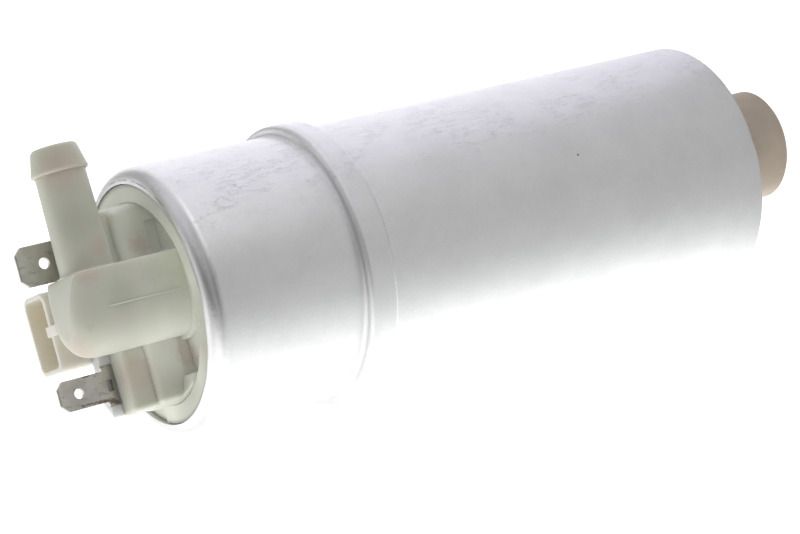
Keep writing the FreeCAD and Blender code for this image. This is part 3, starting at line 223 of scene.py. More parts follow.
def from_axis(tree, place):
    """How far the place is from the can's axis."""
    flat = add(tree, "ShaderNodeVectorMath", {0: place, 1: (1, 1, 0)}, operation="MULTIPLY")
    return add(tree, "ShaderNodeVectorMath", {0: flat.outputs[0]}, operation="LENGTH").outputs["Value"]


def wandering(tree, place, ragged_mm, detail):
    """The place moved about by noise, by so many millimetres each way."""
    noise = add(tree, "ShaderNodeTexNoise", {"Vector": place, "Scale": EDGE_WAVES / ragged_mm,
                                             "Detail": detail})
    offset = add(tree, "ShaderNodeVectorMath", {0: noise.outputs["Color"], 1: (0.5, 0.5, 0.5)},
                 operation="SUBTRACT")
    reach = [ragged_mm / NOISE_SWING] * 3
    return add(tree, "ShaderNodeVectorMath", {0: offset.outputs[0], 1: reach, 2: place},
               operation="MULTIPLY_ADD").outputs[0]


def spots(tree, place, marks, ragged_mm=0.0):
    """One inside round marks and nothing outside, with soft edges that may wander by so many millimetres."""
    if ragged_mm:
        place = wandering(tree, place, ragged_mm, 2.0)
    total = 0.0
    for *centre, radius in marks:
        far = add(tree, "ShaderNodeVectorMath", {0: place, 1: centre}, operation="DISTANCE")
        here = add(tree, "ShaderNodeMapRange", {"Value": far.outputs["Value"], "From Min": SPOT_CORE * radius,
                                                "From Max": radius, "To Min": 1.0, "To Max": 0.0},
                   interpolation_type="SMOOTHSTEP")
        total = add(tree, "ShaderNodeMath", {0: here.outputs[0], 1: total}, operation="MAXIMUM").outputs[0]
    return total


def streaks(tree, place, marks, ragged_mm):
    """One along straight marks and nothing away from them, with edges that wander by so many millimetres."""
    place = wandering(tree, place, ragged_mm, 3.0)
    total = 0.0
    for first, last, spread in marks:
        along = Vector(last) - Vector(first)
        arm = add(tree, "ShaderNodeVectorMath", {0: place, 1: first}, operation="SUBTRACT")
        reach = add(tree, "ShaderNodeVectorMath", {0: arm.outputs[0], 1: along / along.length_squared},
                    operation="DOT_PRODUCT")
        held = add(tree, "ShaderNodeClamp", {"Value": reach.outputs["Value"]})
        foot = add(tree, "ShaderNodeVectorMath", {0: along, "Scale": held.outputs[0]}, operation="SCALE")
        far = add(tree, "ShaderNodeVectorMath", {0: arm.outputs[0], 1: foot.outputs[0]}, operation="DISTANCE")
        here = add(tree, "ShaderNodeMapRange", {"Value": far.outputs["Value"],
                                                "From Min": STREAK_CORE * spread, "From Max": spread,
                                                "To Min": 1.0, "To Max": 0.0})
        total = add(tree, "ShaderNodeMath", {0: here.outputs[0], 1: total}, operation="MAXIMUM").outputs[0]
    return total


def marked(tree, tone, layers):
    """The tone with marks laid over it one after another, each as where it is, how strong, and its colour."""
    for where, strength, colour in layers:
        amount = add(tree, "ShaderNodeMath", {0: where, 1: strength}, operation="MULTIPLY")
        tone = add(tree, "ShaderNodeMix", {"Factor": amount.outputs[0], "A": tone, "B": linear(colour)},
                   data_type="RGBA").outputs["Result"]
    return tone


def hair_scratches(tree, place, axes):
    """One on short hair scratches along the can, in patches on the stub's side, where it was held."""
    patches_per_mm, tangles_per_mm = 0.15, 0.55
    hair_width, elsewhere = 0.006, 0.1
    held = add(tree, "ShaderNodeMapRange", {"Value": axes.outputs["X"], "From Min": HANDLED_X[0],
                                            "From Max": HANDLED_X[1], "To Min": elsewhere})
    patches = add(tree, "ShaderNodeTexNoise", {"Vector": place, "Scale": patches_per_mm, "Detail": 2.0})
    patch = add(tree, "ShaderNodeMapRange", {"Value": patches.outputs[0], "From Min": 0.42, "From Max": 0.60})
    tangle = add(tree, "ShaderNodeTexNoise", {"Vector": stretched(tree, (1.0, 1.0, 0.3)),
                                              "Scale": tangles_per_mm, "Detail": 7.0, "Roughness": 0.7})
    hair = add(tree, "ShaderNodeMath", {0: tangle.outputs[0], 1: 0.5, 2: hair_width}, operation="COMPARE")
    here = add(tree, "ShaderNodeMath", {0: held.outputs[0], 1: patch.outputs[0]}, operation="MULTIPLY")
    return add(tree, "ShaderNodeMath", {0: hair.outputs[0], 1: here.outputs[0]},
               operation="MULTIPLY").outputs[0]


def roller_line(tree, place, axes, cloud):
    """One on the broken dark line that the roller left round the lip on the stub's side."""
    half_width_mm = 0.1
    line = add(tree, "ShaderNodeMath", {0: from_axis(tree, place), 1: ROLLER_LINE, 2: half_width_mm},
               operation="COMPARE")
    broken = add(tree, "ShaderNodeMapRange", {"Value": cloud, "From Min": 0.42, "From Max": 0.50})
    line = add(tree, "ShaderNodeMath", {0: line.outputs[0], 1: broken.outputs[0]}, operation="MULTIPLY")
    for axis, (first, last) in (("X", ROLLER_LINE_X), ("Z", ROLLER_LINE_Z)):
        side = add(tree, "ShaderNodeMapRange", {"Value": axes.outputs[axis], "From Min": first,
                                                "From Max": last})
        line = add(tree, "ShaderNodeMath", {0: line.outputs[0], 1: side.outputs[0]}, operation="MULTIPLY")
    return line.outputs[0]


def can_roughness(tree, axes, grain):
    """Dull by the grain, evened out where the crimp was rolled over, and rubbed duller at the bead's foot."""
    finest, coarsest, crimp, foot = 0.27, 0.39, 0.34, 0.46
    dull = add(tree, "ShaderNodeMapRange", {"Value": grain, "From Min": 0.3, "From Max": 0.7,
                                            "To Min": finest, "To Max": coarsest})
    rolled = add(tree, "ShaderNodeMapRange", {"Value": axes.outputs["Z"], "From Min": CRIMP_FROM,
                                              "From Max": CRIMP_FROM + 0.6})
    rough = add(tree, "ShaderNodeMix", {"Factor": rolled.outputs[0], "A": dull.outputs[0], "B": crimp},
                data_type="FLOAT")
    off_foot = add(tree, "ShaderNodeMath", {0: axes.outputs["Z"], 1: BEAD_FOOT}, operation="SUBTRACT")
    off_foot = add(tree, "ShaderNodeMath", {0: off_foot.outputs[0]}, operation="ABSOLUTE")
    by_foot = add(tree, "ShaderNodeMapRange", {"Value": off_foot.outputs[0], "From Min": 1.2, "From Max": 1.8,
                                               "To Min": 1.0, "To Max": 0.0})
    return add(tree, "ShaderNodeMix", {"Factor": by_foot.outputs[0], "A": rough.outputs[0], "B": foot},
               data_type="FLOAT").outputs[0]


def drawn_aluminium(alloy):
    """Aluminium, drawn and washed: a dull silver with faint clouds, a fine grain and hair scratches."""
    material, tree, shader = new_finish("Drawn aluminium, washed")
    clouds_per_mm, grains_per_mm, relief_mm = 0.13, 2.2, 0.06
    place = stretched(tree, (1, 1, 1))
    axes = add(tree, "ShaderNodeSeparateXYZ", {"Vector": place})
    cloud = add(tree, "ShaderNodeTexNoise", {"Vector": place, "Scale": clouds_per_mm, "Detail": 5.0,
                                             "Roughness": 0.65}).outputs[0]
    tone = ramp(add(tree, "ShaderNodeValToRGB", {"Fac": cloud}),
                [(0.36, linear("#E2E2E3")), (0.62, alloy)]).outputs[0]
    grain = add(tree, "ShaderNodeTexNoise", {"Vector": place, "Scale": grains_per_mm, "Detail": 4.0,
                                             "Roughness": 0.8}).outputs[0]
    fleck = add(tree, "ShaderNodeMapRange", {"Value": grain, "From Min": 0.45, "From Max": 0.60})
    scratch = hair_scratches(tree, place, axes)
    tone = marked(tree, tone, [(fleck.outputs[0], 0.10, "#C9C9CB"), (scratch, 0.4, "#A9A8B2"),
                               (roller_line(tree, place, axes, cloud), 0.6, "#6E6E74"),
                               (spots(tree, place, DIRT_SPECKS), 1.0, "#3E3E40")])
    relief = add(tree, "ShaderNodeMath", {0: scratch, 1: -0.5, 2: grain}, operation="MULTIPLY_ADD")
    bump = add(tree, "ShaderNodeBump", {"Height": relief.outputs[0], "Strength": 0.5,
                                        "Distance": relief_mm * MM})
    plug(tree, shader, {"Base Color": tone, "Roughness": can_roughness(tree, axes, grain),
                        "Normal": bump.outputs[0], "Metallic": 1.0})
    return material


def moulded(name, colour, shade, roughness=0.45, blotch_mm=7.0, stain=None, glow_mm=0.0):
    """Moulded or pressed stock: even, a little cloudy, perhaps stained, and perhaps letting light in."""
    material, tree, shader = new_finish(name)
    grains_per_mm, relief_mm, roughness_swing = 3.0, 0.03, 0.06
    place = stretched(tree, (1, 1, 1))
    cloud = add(tree, "ShaderNodeTexNoise", {"Vector": place, "Scale": 1 / blotch_mm, "Detail": 3.0})
    tone = ramp(add(tree, "ShaderNodeValToRGB", {"Fac": cloud.outputs[0]}),
                [(0.32, linear(shade)), (0.60, linear(colour))]).outputs[0]
    if stain:
        spread = add(tree, "ShaderNodeTexNoise", {"Vector": place, "Scale": 0.6 / blotch_mm, "Detail": 2.0})
        where = add(tree, "ShaderNodeMapRange", {"Value": spread.outputs[0], "From Min": 0.50,
                                                 "From Max": 0.66})
        tone = marked(tree, tone, [(where.outputs[0], 0.55, stain)])
    grain = add(tree, "ShaderNodeTexNoise", {"Vector": place, "Scale": grains_per_mm, "Detail": 3.0})
    gloss = add(tree, "ShaderNodeMapRange", {"Value": cloud.outputs[0], "From Min": 0.3, "From Max": 0.7,
                                             "To Min": roughness - roughness_swing,
                                             "To Max": roughness + roughness_swing})
    bump = add(tree, "ShaderNodeBump", {"Height": grain.outputs[0], "Strength": 0.12,
                                        "Distance": relief_mm * MM})
    plug(tree, shader, {"Base Color": tone, "Roughness": gloss.outputs[0], "Normal": bump.outputs[0],
                        "IOR": PLASTIC_IOR})
    if glow_mm:
        plug(tree, shader, {"Subsurface Weight": 0.7, "Subsurface Radius": MILKY,
                            "Subsurface Scale": glow_mm * MM})
    return material


def natural_acetal():
    """Acetal resin, moulded without pigment: milky and a little green, lets light in, stained by fuel, with
    painted shade and painted light.
    """
    material, tree, shader = new_finish("Acetal resin, moulded natural")
    cloud_mm, grains_per_mm, relief_mm, glow_mm = 6.0, 1.4, 0.04, 2.0
    glossiest, dullest = 0.36, 0.50
    ragged_mm, lip_shadow_mm = 0.5, 0.9
    place = stretched(tree, (1, 1, 1))
    axes = add(tree, "ShaderNodeSeparateXYZ", {"Vector": place})
    cloud = add(tree, "ShaderNodeTexNoise", {"Vector": place, "Scale": 1 / cloud_mm, "Detail": 4.0,
                                             "Roughness": 0.6})
    tone = ramp(add(tree, "ShaderNodeValToRGB", {"Fac": cloud.outputs[0]}),
                [(0.34, linear("#E3E5D6")), (0.60, linear("#EBEDE0"))]).outputs[0]
    # The free ends, away from the can, and the stub are painted a shade darker than the cap's floor: painted
    # shade, which leaves the floor looking lit
    painted_shade_end = add(tree, "ShaderNodeMapRange", {"Value": axes.outputs["Z"], "From Min": PAINTED_SHADE_Z[0],
                                               "From Max": PAINTED_SHADE_Z[1]})
    stub = add(tree, "ShaderNodeMapRange", {"Value": axes.outputs["X"], "From Min": PAINTED_SHADE_STUB_X[0],
                                            "From Max": PAINTED_SHADE_STUB_X[1]})
    # A painted shadow lies in the corner where the cap meets the can's lip
    lip_shadow = add(tree, "ShaderNodeMapRange", {"Value": from_axis(tree, place), "From Min": LIP_EDGE - lip_shadow_mm,
                                              "From Max": LIP_EDGE}, interpolation_type="SMOOTHSTEP")
    low = add(tree, "ShaderNodeMapRange", {"Value": axes.outputs["Z"], "From Min": LIP_SHADOW_Z[0],
                                           "From Max": LIP_SHADOW_Z[1], "To Min": 1.0, "To Max": 0.0})
    painted_lip_shadow = add(tree, "ShaderNodeMath", {0: lip_shadow.outputs[0], 1: low.outputs[0]}, operation="MULTIPLY")
    # Painted shade darkens the free ends, the stub, the corner by the lip and the bright spots; painted light
    # brightens the shaded patches
    tone = marked(tree, tone, [(painted_shade_end.outputs[0], 1.0, "#D3D4C6"), (stub.outputs[0], 0.6, "#C4C6B6"),
                               (spots(tree, place, PAINTED_LIGHT_PATCHES), 1.0, "#F4F5EC"),
                               (painted_lip_shadow.outputs[0], 0.75, "#7F8474"),
                               (spots(tree, place, PAINTED_SHADE_SPOTS), 0.55, "#BDBEAF"),
                               (spots(tree, place, PINK_STAINS, ragged_mm), 0.45, "#D3BDB4"),
                               (spots(tree, place, GREY_SMUDGES, ragged_mm), 0.14, "#9A9D8C")])
    grain = add(tree, "ShaderNodeTexNoise", {"Vector": place, "Scale": grains_per_mm, "Detail": 4.0})
    gloss = add(tree, "ShaderNodeMapRange", {"Value": cloud.outputs[0], "From Min": 0.3, "From Max": 0.7,
                                             "To Min": glossiest, "To Max": dullest})
    bump = add(tree, "ShaderNodeBump", {"Height": grain.outputs[0], "Strength": 0.2,
                                        "Distance": relief_mm * MM})
    plug(tree, shader, {"Base Color": tone, "Roughness": gloss.outputs[0], "Normal": bump.outputs[0],
                        "IOR": PLASTIC_IOR, "Subsurface Weight": 0.8, "Subsurface Radius": MILKY,
                        "Subsurface Scale": glow_mm * MM})
    return material


def tinned_brass():
    """Brass strip, tinned and stamped: pale grey, with dark pits, rubbed marks, rust by sheared edges and a
    painted shadow at the feet.
    """
    material, tree, shader = new_finish("Tinned brass, stamped")
    cloud_mm, rubs_per_mm, pits_per_mm, relief_mm, rust_ragged_mm = 2.5, 1.1, 0.7, 0.02, 0.18
    place = stretched(tree, (1, 1, 1))
    axes = add(tree, "ShaderNodeSeparateXYZ", {"Vector": place})
    cloud = add(tree, "ShaderNodeTexNoise", {"Vector": place, "Scale": 1 / cloud_mm, "Detail": 4.0})
    tone = ramp(add(tree, "ShaderNodeValToRGB", {"Fac": cloud.outputs[0]}),
                [(0.36, linear("#C8C6BE")), (0.62, linear("#DAD8D1"))]).outputs[0]
    rubbed = add(tree, "ShaderNodeTexNoise", {"Vector": stretched(tree, (1.6, 1.0, 0.5)),
                                              "Scale": rubs_per_mm, "Detail": 5.0})
    worn = add(tree, "ShaderNodeMapRange", {"Value": rubbed.outputs[0], "From Min": 0.60, "From Max": 0.66})
    # A painted shadow darkens the blades' feet where they stand on the plate
    foot = add(tree, "ShaderNodeMapRange", {"Value": axes.outputs["Z"], "From Min": BLADE_FOOT_SHADOW_Z[0],
                                            "From Max": BLADE_FOOT_SHADOW_Z[1], "To Min": 1.0, "To Max": 0.0})
    cells = add(tree, "ShaderNodeTexVoronoi", {"Vector": place, "Scale": pits_per_mm})
    pits = add(tree, "ShaderNodeMapRange", {"Value": cells.outputs["Distance"], "From Min": 0.08,
                                            "From Max": 0.15, "To Min": 1.0, "To Max": 0.0})
    tone = marked(tree, tone, [(worn.outputs[0], 0.35, "#8D8B86"), (foot.outputs[0], 0.55, "#6F6A72"),
                               (streaks(tree, place, RUST, rust_ragged_mm), 0.85, "#786456"),
                               (pits.outputs[0], 0.45, "#6A635E")])
    bump = add(tree, "ShaderNodeBump", {"Height": rubbed.outputs[0], "Strength": 0.15,
                                        "Distance": relief_mm * MM})
    plug(tree, shader, {"Base Color": tone, "Normal": bump.outputs[0], "Roughness": 0.42, "Metallic": 1.0})
    return material


def metal(name, colour, shade, roughness, grain_mm):
    """A bare metal: two close tones in a fine grain, a little duller where it is pale."""
    material, tree, shader = new_finish(name)
    relief_mm, roughness_swing = 0.02, 0.07
    place = stretched(tree, (1, 1, 1))
    grain = add(tree, "ShaderNodeTexNoise", {"Vector": place, "Scale": 1 / grain_mm, "Detail": 4.0})
    tone = ramp(add(tree, "ShaderNodeValToRGB", {"Fac": grain.outputs[0]}),
                [(0.35, linear(shade)), (0.65, linear(colour))])
    rough = add(tree, "ShaderNodeMapRange", {"Value": grain.outputs[0], "From Min": 0.3, "From Max": 0.7,
                                             "To Min": roughness - roughness_swing,
                                             "To Max": roughness + roughness_swing})
    bump = add(tree, "ShaderNodeBump", {"Height": grain.outputs[0], "Strength": 0.2,
                                        "Distance": relief_mm * MM})
    plug(tree, shader, {"Base Color": tone.outputs[0], "Roughness": rough.outputs[0],
                        "Normal": bump.outputs[0], "Metallic": 1.0})
    return material


def light_table(strength):
    """Opal acrylic sheet, lit from below: seen plain white, it throws most light on the pump from behind."""
    material, tree, shader = new_finish("Acrylic sheet, opal, lit from below")
    place = add(tree, "ShaderNodeTexCoord")
    turn = add(tree, "ShaderNodeTexGradient", {"Vector": place.outputs["Object"]}, gradient_type="RADIAL")
    close = ramp(add(tree, "ShaderNodeValToRGB", {"Fac": turn.outputs[1]}), GLOW)
    distant = ramp(add(tree, "ShaderNodeValToRGB", {"Fac": turn.outputs[1]}), FAR_GLOW)
    radius = add(tree, "ShaderNodeVectorMath", {0: place.outputs["Object"]}, operation="LENGTH")
    beyond = add(tree, "ShaderNodeMapRange", {"Value": radius.outputs["Value"], "From Min": FAR_FADE[0] * MM,
                                              "From Max": FAR_FADE[1] * MM}, interpolation_type="SMOOTHSTEP")
    level = add(tree, "ShaderNodeMix", {"Factor": beyond.outputs[0], "A": close.outputs[0],
                                        "B": distant.outputs[0]}, data_type="RGBA")
    seen = add(tree, "ShaderNodeLightPath").outputs["Is Camera Ray"]
    level = add(tree, "ShaderNodeMix", {"Factor": seen, "A": level.outputs["Result"], "B": BACKDROP},
                data_type="RGBA")
    plug(tree, shader, {"Base Color": linear("#A8A8A8"), "Roughness": 0.9,
                        "Emission Color": level.outputs["Result"], "Emission Strength": strength})
    return material


def patch_of_sky(tree, place, azimuth, elevation, inner, outer):
    """One inside a round patch of the room's sky, falling to nothing outside it; the four are in degrees."""
    turn, rise = math.radians(azimuth), math.radians(elevation)
    towards = (math.cos(rise) * math.cos(turn), math.cos(rise) * math.sin(turn), math.sin(rise))
    near = add(tree, "ShaderNodeVectorMath", {0: place, 1: towards}, operation="DOT_PRODUCT")
    return add(tree, "ShaderNodeMapRange", {"Value": near.outputs["Value"],
                                            "From Min": math.cos(math.radians(outer)),
                                            "From Max": math.cos(math.radians(inner))}).outputs[0]


def soft_room(strength, wall):
    """A pale room seen as a plain soft light, brightest on the terminal side, with a few dark things."""
    world = bpy.data.worlds.new("Soft room")
    world.use_nodes = True
    tree = world.node_tree
    place = add(tree, "ShaderNodeTexCoord").outputs["Generated"]
    level = strength
    for *spot, brightness in DARK_SPOTS:
        shade = add(tree, "ShaderNodeMapRange", {"Value": patch_of_sky(tree, place, *spot), "To Min": 1.0,
                                                 "To Max": brightness})
        level = add(tree, "ShaderNodeMath", {0: shade.outputs[0], 1: level}, operation="MULTIPLY").outputs[0]
    bright = patch_of_sky(tree, place, *BRIGHT_WALL)
    level = add(tree, "ShaderNodeMath", {0: bright, 1: wall, 2: level}, operation="MULTIPLY_ADD").outputs[0]
    seen = add(tree, "ShaderNodeLightPath").outputs["Is Camera Ray"]
    level = add(tree, "ShaderNodeMix", {"Factor": seen, "A": level, "B": BACKDROP}, data_type="RGBA")
    plug(tree, tree.nodes["Background"], {"Color": level.outputs["Result"], "Strength": 1.0})
    return world


def wound_wire(finish, slot, name, joint, travel_mm, wire_mm, turns, strands):
    """A spring or a twisted lead in its CAD solid's place; the joint is not used."""
    wire_sides, steps_in_turn, smooth_below = 10, 24, math.radians(60)
    low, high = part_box(name)
    middle = (low + high) / 2
    wire = wire_mm * MM
    rise = high.z - low.z - 2 * wire
    bpy.ops.object.select_all(action="DESELECT")
    bpy.ops.mesh.primitive_circle_add(vertices=wire_sides, radius=wire,
                                      location=(middle.x, middle.y, low.z + wire))
    coil = bpy.context.object
    coil.name = name + "_wire"
    bpy.ops.object.mode_set(mode="EDIT")
    bpy.ops.mesh.select_all(action="SELECT")
    bpy.ops.transform.rotate(value=math.pi / 2, orient_axis="X", center_override=coil.location)
    bpy.ops.transform.translate(value=((high.x - low.x) / 2 - wire, 0, 0))
    bpy.ops.object.mode_set(mode="OBJECT")
    screw = coil.modifiers.new("Turns", "SCREW")
    screw.iterations = turns
    screw.screw_offset = rise / turns
    screw.steps = steps_in_turn
    screw.render_steps = steps_in_turn
    bpy.ops.object.modifier_apply(modifier=screw.name)
    # The wire's two open ends are closed, and the other strands are turned copies of the first
    bpy.ops.object.mode_set(mode="EDIT")
    bpy.ops.mesh.select_all(action="DESELECT")
    bpy.ops.mesh.select_non_manifold()
    bpy.ops.mesh.fill_holes(sides=0)
    bpy.ops.mesh.select_all(action="SELECT")
    for _ in range(strands - 1):
        bpy.ops.mesh.duplicate()
        bpy.ops.transform.rotate(value=2 * math.pi / strands, orient_axis="Z", center_override=coil.location)
    bpy.ops.mesh.select_all(action="SELECT")
    bpy.ops.mesh.normals_make_consistent(inside=False)
    bpy.ops.object.mode_set(mode="OBJECT")
    bpy.ops.object.transform_apply(location=True, rotation=True, scale=True)
    bpy.ops.object.shade_smooth_by_angle(angle=smooth_below)
    coil.data.materials.append(finish)
    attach(coil, "housing")
    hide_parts(name)
    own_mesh(coil)


def hang_lamps(context):
    """Adds the soft lamps, each aimed at its place."""
    for name, place, aim, size, power, colour in LAMPS:
        light = bpy.data.lights.new(name, "AREA")
        light.shape = "RECTANGLE"
        light.size, light.size_y = size
        light.energy = getattr(pump_settings(context), power)
        light.color = linear(colour)[:3]
        lamp = bpy.data.objects.new(name, light)
        context.scene.collection.objects.link(lamp)
        lamp.location = place
        lamp.rotation_mode = "QUATERNION"
        lamp.rotation_quaternion = (Vector(aim) - Vector(place)).to_track_quat("-Z", "Y")


def set_up_camera(context):
    """Adds the camera where the photograph was taken from, and makes it the scene's own."""
    camera = bpy.data.cameras.new("photo_camera")
    camera.sensor_width = SENSOR_MM
    camera.lens = FOCAL_PIXELS / PHOTO_WIDTH * SENSOR_MM
    camera.clip_start, camera.clip_end = 0.01, 10.0
    eye = bpy.data.objects.new("photo_camera", camera)
    context.scene.collection.objects.link(eye)
    back = Vector(CAMERA_BACK).normalized()
    right = Vector(PICTURE_TOP).cross(back).normalized()
    pose = Matrix((right, back.cross(right), back)).transposed().to_4x4()
    pose.translation = Vector(CAMERA_PLACE) * MM
    eye.matrix_world = pose
    context.scene.camera = eye


def pump_settings(context):
    """The pump's settings in this scene."""
    return context.scene.fuel_pump


class FUELPUMP_PG_settings(bpy.types.PropertyGroup):
    """Colours and lights of the fuel pump"""

    alloy: FloatVectorProperty(name="Can alloy", description="Colour of the drawn can", subtype="COLOR",
                               size=4, min=0, max=1, default=linear("#E8E8E9"))
    parting_width: FloatProperty(name="Parting line width", description="Width of the boss's parting line",
                                 default=0.22 * MM, min=0, unit="LENGTH")
    parting_height: FloatProperty(name="Parting line height",
                                  description="How far the parting line stands out",
                                  default=0.07 * MM, min=0, unit="LENGTH")
    glow: FloatProperty(name="Table glow", description="Strength of the light table under the pump",
                        default=0.9, min=0)
    key_power: FloatProperty(name="Key light", description="Power of the light on the terminal side",
                             default=0.5, min=0, unit="POWER")
    back_power: FloatProperty(name="Back light", description="Power of the light over the floor behind",
                              default=0.65, min=0, unit="POWER")
    side_power: FloatProperty(name="Stub side light", description="Power of the light on the stub side",
                              default=0.3, min=0, unit="POWER")
    room: FloatProperty(name="Room light", description="Strength of the soft light from all round",
                        default=0.42, min=0)
    wall: FloatProperty(name="Bright wall",
                        description="Strength added to the room's light on the terminal side",
                        default=0.75, min=0)


class FUELPUMP_OT_can(bpy.types.Operator):
    """Finishes the can as drawn aluminium"""

    bl_idname = "fuelpump.can"
    bl_label = "Can"

    def execute(self, context):
        dress(drawn_aluminium(tuple(pump_settings(context).alloy)), "can")
        return {"FINISHED"}


class FUELPUMP_OT_mouldings(bpy.types.Operator):
    """Finishes the plastic mouldings seen from outside"""

    bl_idname = "fuelpump.mouldings"
    bl_label = "Mouldings"

    def execute(self, context):
        dress(natural_acetal(), "outlet_cap")
        # Polyester is a clean cold white, a little see-through at its edges
        dress(moulded("Polyester, moulded light grey", "#EAEAEC", "#E0E0E3", glow_mm=1.0), "terminal_plate")
        # Nylon is warmer, and light goes deeper into it
        dress(moulded("Nylon, moulded cream", "#E9E5DC", "#E1DCD0", glow_mm=1.5), "connector_shroud")
        # Filled nylon has lighter blotches where the fuel has bleached it
        dress(moulded("Filled nylon, moulded taupe", "#D6C8B8", "#C8BBAA", stain="#DFCABD", glow_mm=1.5),
              "suction_nipple", "inlet_cover")
        return {"FINISHED"}


class FUELPUMP_OT_parting_line(bpy.types.Operator):
    """Models the mould's parting line along the boss"""

    bl_idname = "fuelpump.parting_line"
    bl_label = "Parting line"

    def execute(self, context):
        values = pump_settings(context)
        rounding = 0.45 * values.parting_height
        across, front = PARTING_PLACE
        middle = (across * MM, front * MM, (PARTING_FOOT + PARTING_TOP) / 2 * MM)
        bpy.ops.object.select_all(action="DESELECT")
        bpy.ops.mesh.primitive_cube_add(size=1.0, location=middle)
        ridge = context.object
        ridge.name = "boss_parting_line"
        # Half of the ridge's depth is inside the boss
        ridge.scale = (values.parting_width, 2 * values.parting_height, (PARTING_TOP - PARTING_FOOT) * MM)
        bpy.ops.object.transform_apply(location=True, rotation=True, scale=True)
        bpy.ops.object.mode_set(mode="EDIT")
        bpy.ops.mesh.select_all(action="SELECT")
        bpy.ops.mesh.bevel(offset=rounding, segments=2, affect="EDGES")
        bpy.ops.object.mode_set(mode="OBJECT")
        # The flash is thin, and is painted paler than the wall as a painted highlight along the ridge
        ridge.data.materials.append(moulded("Acetal resin, mould flash", "#F2F3EA", "#E9EADF", roughness=0.4))
        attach(ridge, "housing")
        return {"FINISHED"}


class FUELPUMP_OT_blades(bpy.types.Operator):
    """Finishes the two blade terminals as stamped tinned brass"""

    bl_idname = "fuelpump.blades"
    bl_label = "Blade terminals"

    def execute(self, context):
        dress(tinned_brass(), "positive_blade", "negative_blade")
        return {"FINISHED"}


class FUELPUMP_OT_inner_pieces(bpy.types.Operator):
    """Finishes the pump stage, motor and valves inside the can"""

    bl_idname = "fuelpump.inner_pieces"
    bl_label = "Inner pieces"

    def execute(self, context):
        # Rubber and carbon are dull and nearly black, and so is ferrite, which is the dullest
        dress(moulded("Fuel-proof rubber, moulded black", "#1F1F20", "#161617", roughness=0.6),
              "inlet_seal", "outlet_seal")
        dress(moulded("Carbon, pressed and ground", "#2B2B2C", "#1F1F20", roughness=0.6, blotch_mm=1.5),
              "positive_brush", "negative_brush")
        dress(moulded("Ferrite, sintered", "#3A3A3D", "#2C2C2F", roughness=0.65, blotch_mm=3.0),
              "magnet_right", "magnet_left")
        # Plastics that take wear are smoother
        dress(moulded("Acetal resin, moulded black", "#26262A", "#1D1D20", roughness=0.5),
              "drive_coupling", "commutator_hub")
        dress(moulded("Nylon, moulded grey", "#9A9A98", "#8B8B89", roughness=0.5), "check_valve_poppet")
        # Sintered metals show their powder as a fine, dull speckle
        dress(metal("Sintered steel, pressed", "#8F8F90", "#6F6F72", roughness=0.5, grain_mm=0.3),
              "pump_ring", "port_plate", "inner_rotor", "outer_rotor")
        dress(metal("Oil bronze, sintered", "#B08C5A", "#8D6C42", roughness=0.45, grain_mm=0.3),
              "lower_bearing", "upper_bearing")
        # Turned and stamped metals are bright
        dress(metal("Mild steel, turned and stamped", "#B2B4B8", "#96989C", roughness=0.3, grain_mm=0.5),
              "flux_ring", "magnet_clip_front", "magnet_clip_back", "armature_shaft", "armature_core",
              "dowel_pin_1", "dowel_pin_2", "relief_ball")
        dress(metal("Brass, turned", "#C9AE6C", "#AD9254", roughness=0.3, grain_mm=0.5),
              "check_valve_seat", "relief_plug")
        # Enamel makes copper redder and darker than it is bare
        dress(metal("Copper wire, enamelled", "#B5703F", "#8E4E27", roughness=0.3, grain_mm=0.5),
              "armature_winding")
        dress(metal("Copper, bare", *COPPER_COLOURS, roughness=0.32, grain_mm=0.5),
              *[f"commutator_segment_{n}" for n in range(1, 9)])
        return {"FINISHED"}


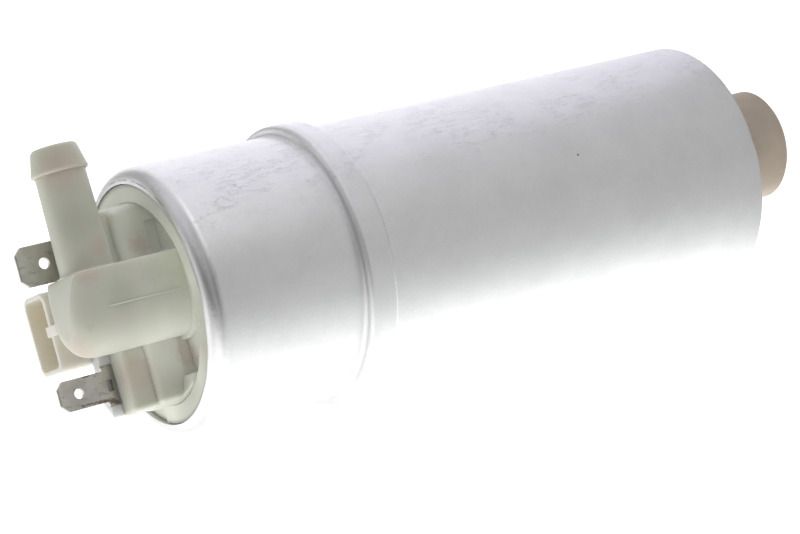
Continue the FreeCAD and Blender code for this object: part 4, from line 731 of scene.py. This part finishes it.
class FUELPUMP_OT_springs(bpy.types.Operator):
    """Models the springs and brush leads"""

    bl_idname = "fuelpump.springs"
    bl_label = "Springs and leads"

    def execute(self, context):
        # Drawn wire is bright, with a fine grain
        bright = metal("Spring steel wire, bright", "#A3A4A7", "#85868A", roughness=0.28, grain_mm=0.4)
        for spring in SPRINGS:
            wound_wire(bright, "spring_steel", *spring)
        strand = metal("Copper strand, bare", *COPPER_COLOURS, roughness=0.32, grain_mm=0.5)
        for lead in LEADS:
            wound_wire(strand, "copper", *lead)
        return {"FINISHED"}


class FUELPUMP_OT_stage(bpy.types.Operator):
    """Sets the pale floor, the soft lights and the camera"""

    bl_idname = "fuelpump.stage"
    bl_label = "Stage"

    def execute(self, context):
        values = pump_settings(context)
        bpy.ops.object.select_all(action="DESELECT")
        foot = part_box("suction_nipple")[0].z
        bpy.ops.mesh.primitive_circle_add(vertices=96, radius=FLOOR_RADIUS, fill_type="NGON",
                                          location=(0, 0, foot))
        floor = context.object
        floor.name = "studio_floor"
        bpy.ops.object.transform_apply(location=True, rotation=True, scale=True)
        floor.data.materials.append(light_table(values.glow))
        hang_lamps(context)
        context.scene.world = soft_room(values.room, values.wall)
        context.scene.view_settings.view_transform = "Standard"
        set_up_camera(context)
        return {"FINISHED"}


class FUELPUMP_PT_panel(bpy.types.Panel):
    """Lists the pump's settings and the steps that dress it"""

    bl_idname = "FUELPUMP_PT_panel"
    bl_label = "Fuel pump"
    bl_space_type = "VIEW_3D"
    bl_region_type = "UI"
    bl_category = "Fuel pump"

    def draw(self, context):
        for name in FUELPUMP_PG_settings.__annotations__:
            self.layout.prop(pump_settings(context), name)
        for step in STEPS:
            self.layout.operator(step.bl_idname)


STEPS = (FUELPUMP_OT_can, FUELPUMP_OT_mouldings, FUELPUMP_OT_parting_line, FUELPUMP_OT_blades,
         FUELPUMP_OT_inner_pieces, FUELPUMP_OT_springs, FUELPUMP_OT_stage)
CLASSES = (FUELPUMP_PG_settings, *STEPS, FUELPUMP_PT_panel)


def register():
    for cls in CLASSES:
        bpy.utils.register_class(cls)
    bpy.types.Scene.fuel_pump = PointerProperty(type=FUELPUMP_PG_settings)


def unregister():
    del bpy.types.Scene.fuel_pump
    for cls in reversed(CLASSES):
        bpy.utils.unregister_class(cls)


def main():
    register()
    for step in STEPS:
        group, name = step.bl_idname.split(".")
        getattr(getattr(bpy.ops, group), name)()


if __name__ == "__main__":
    main()
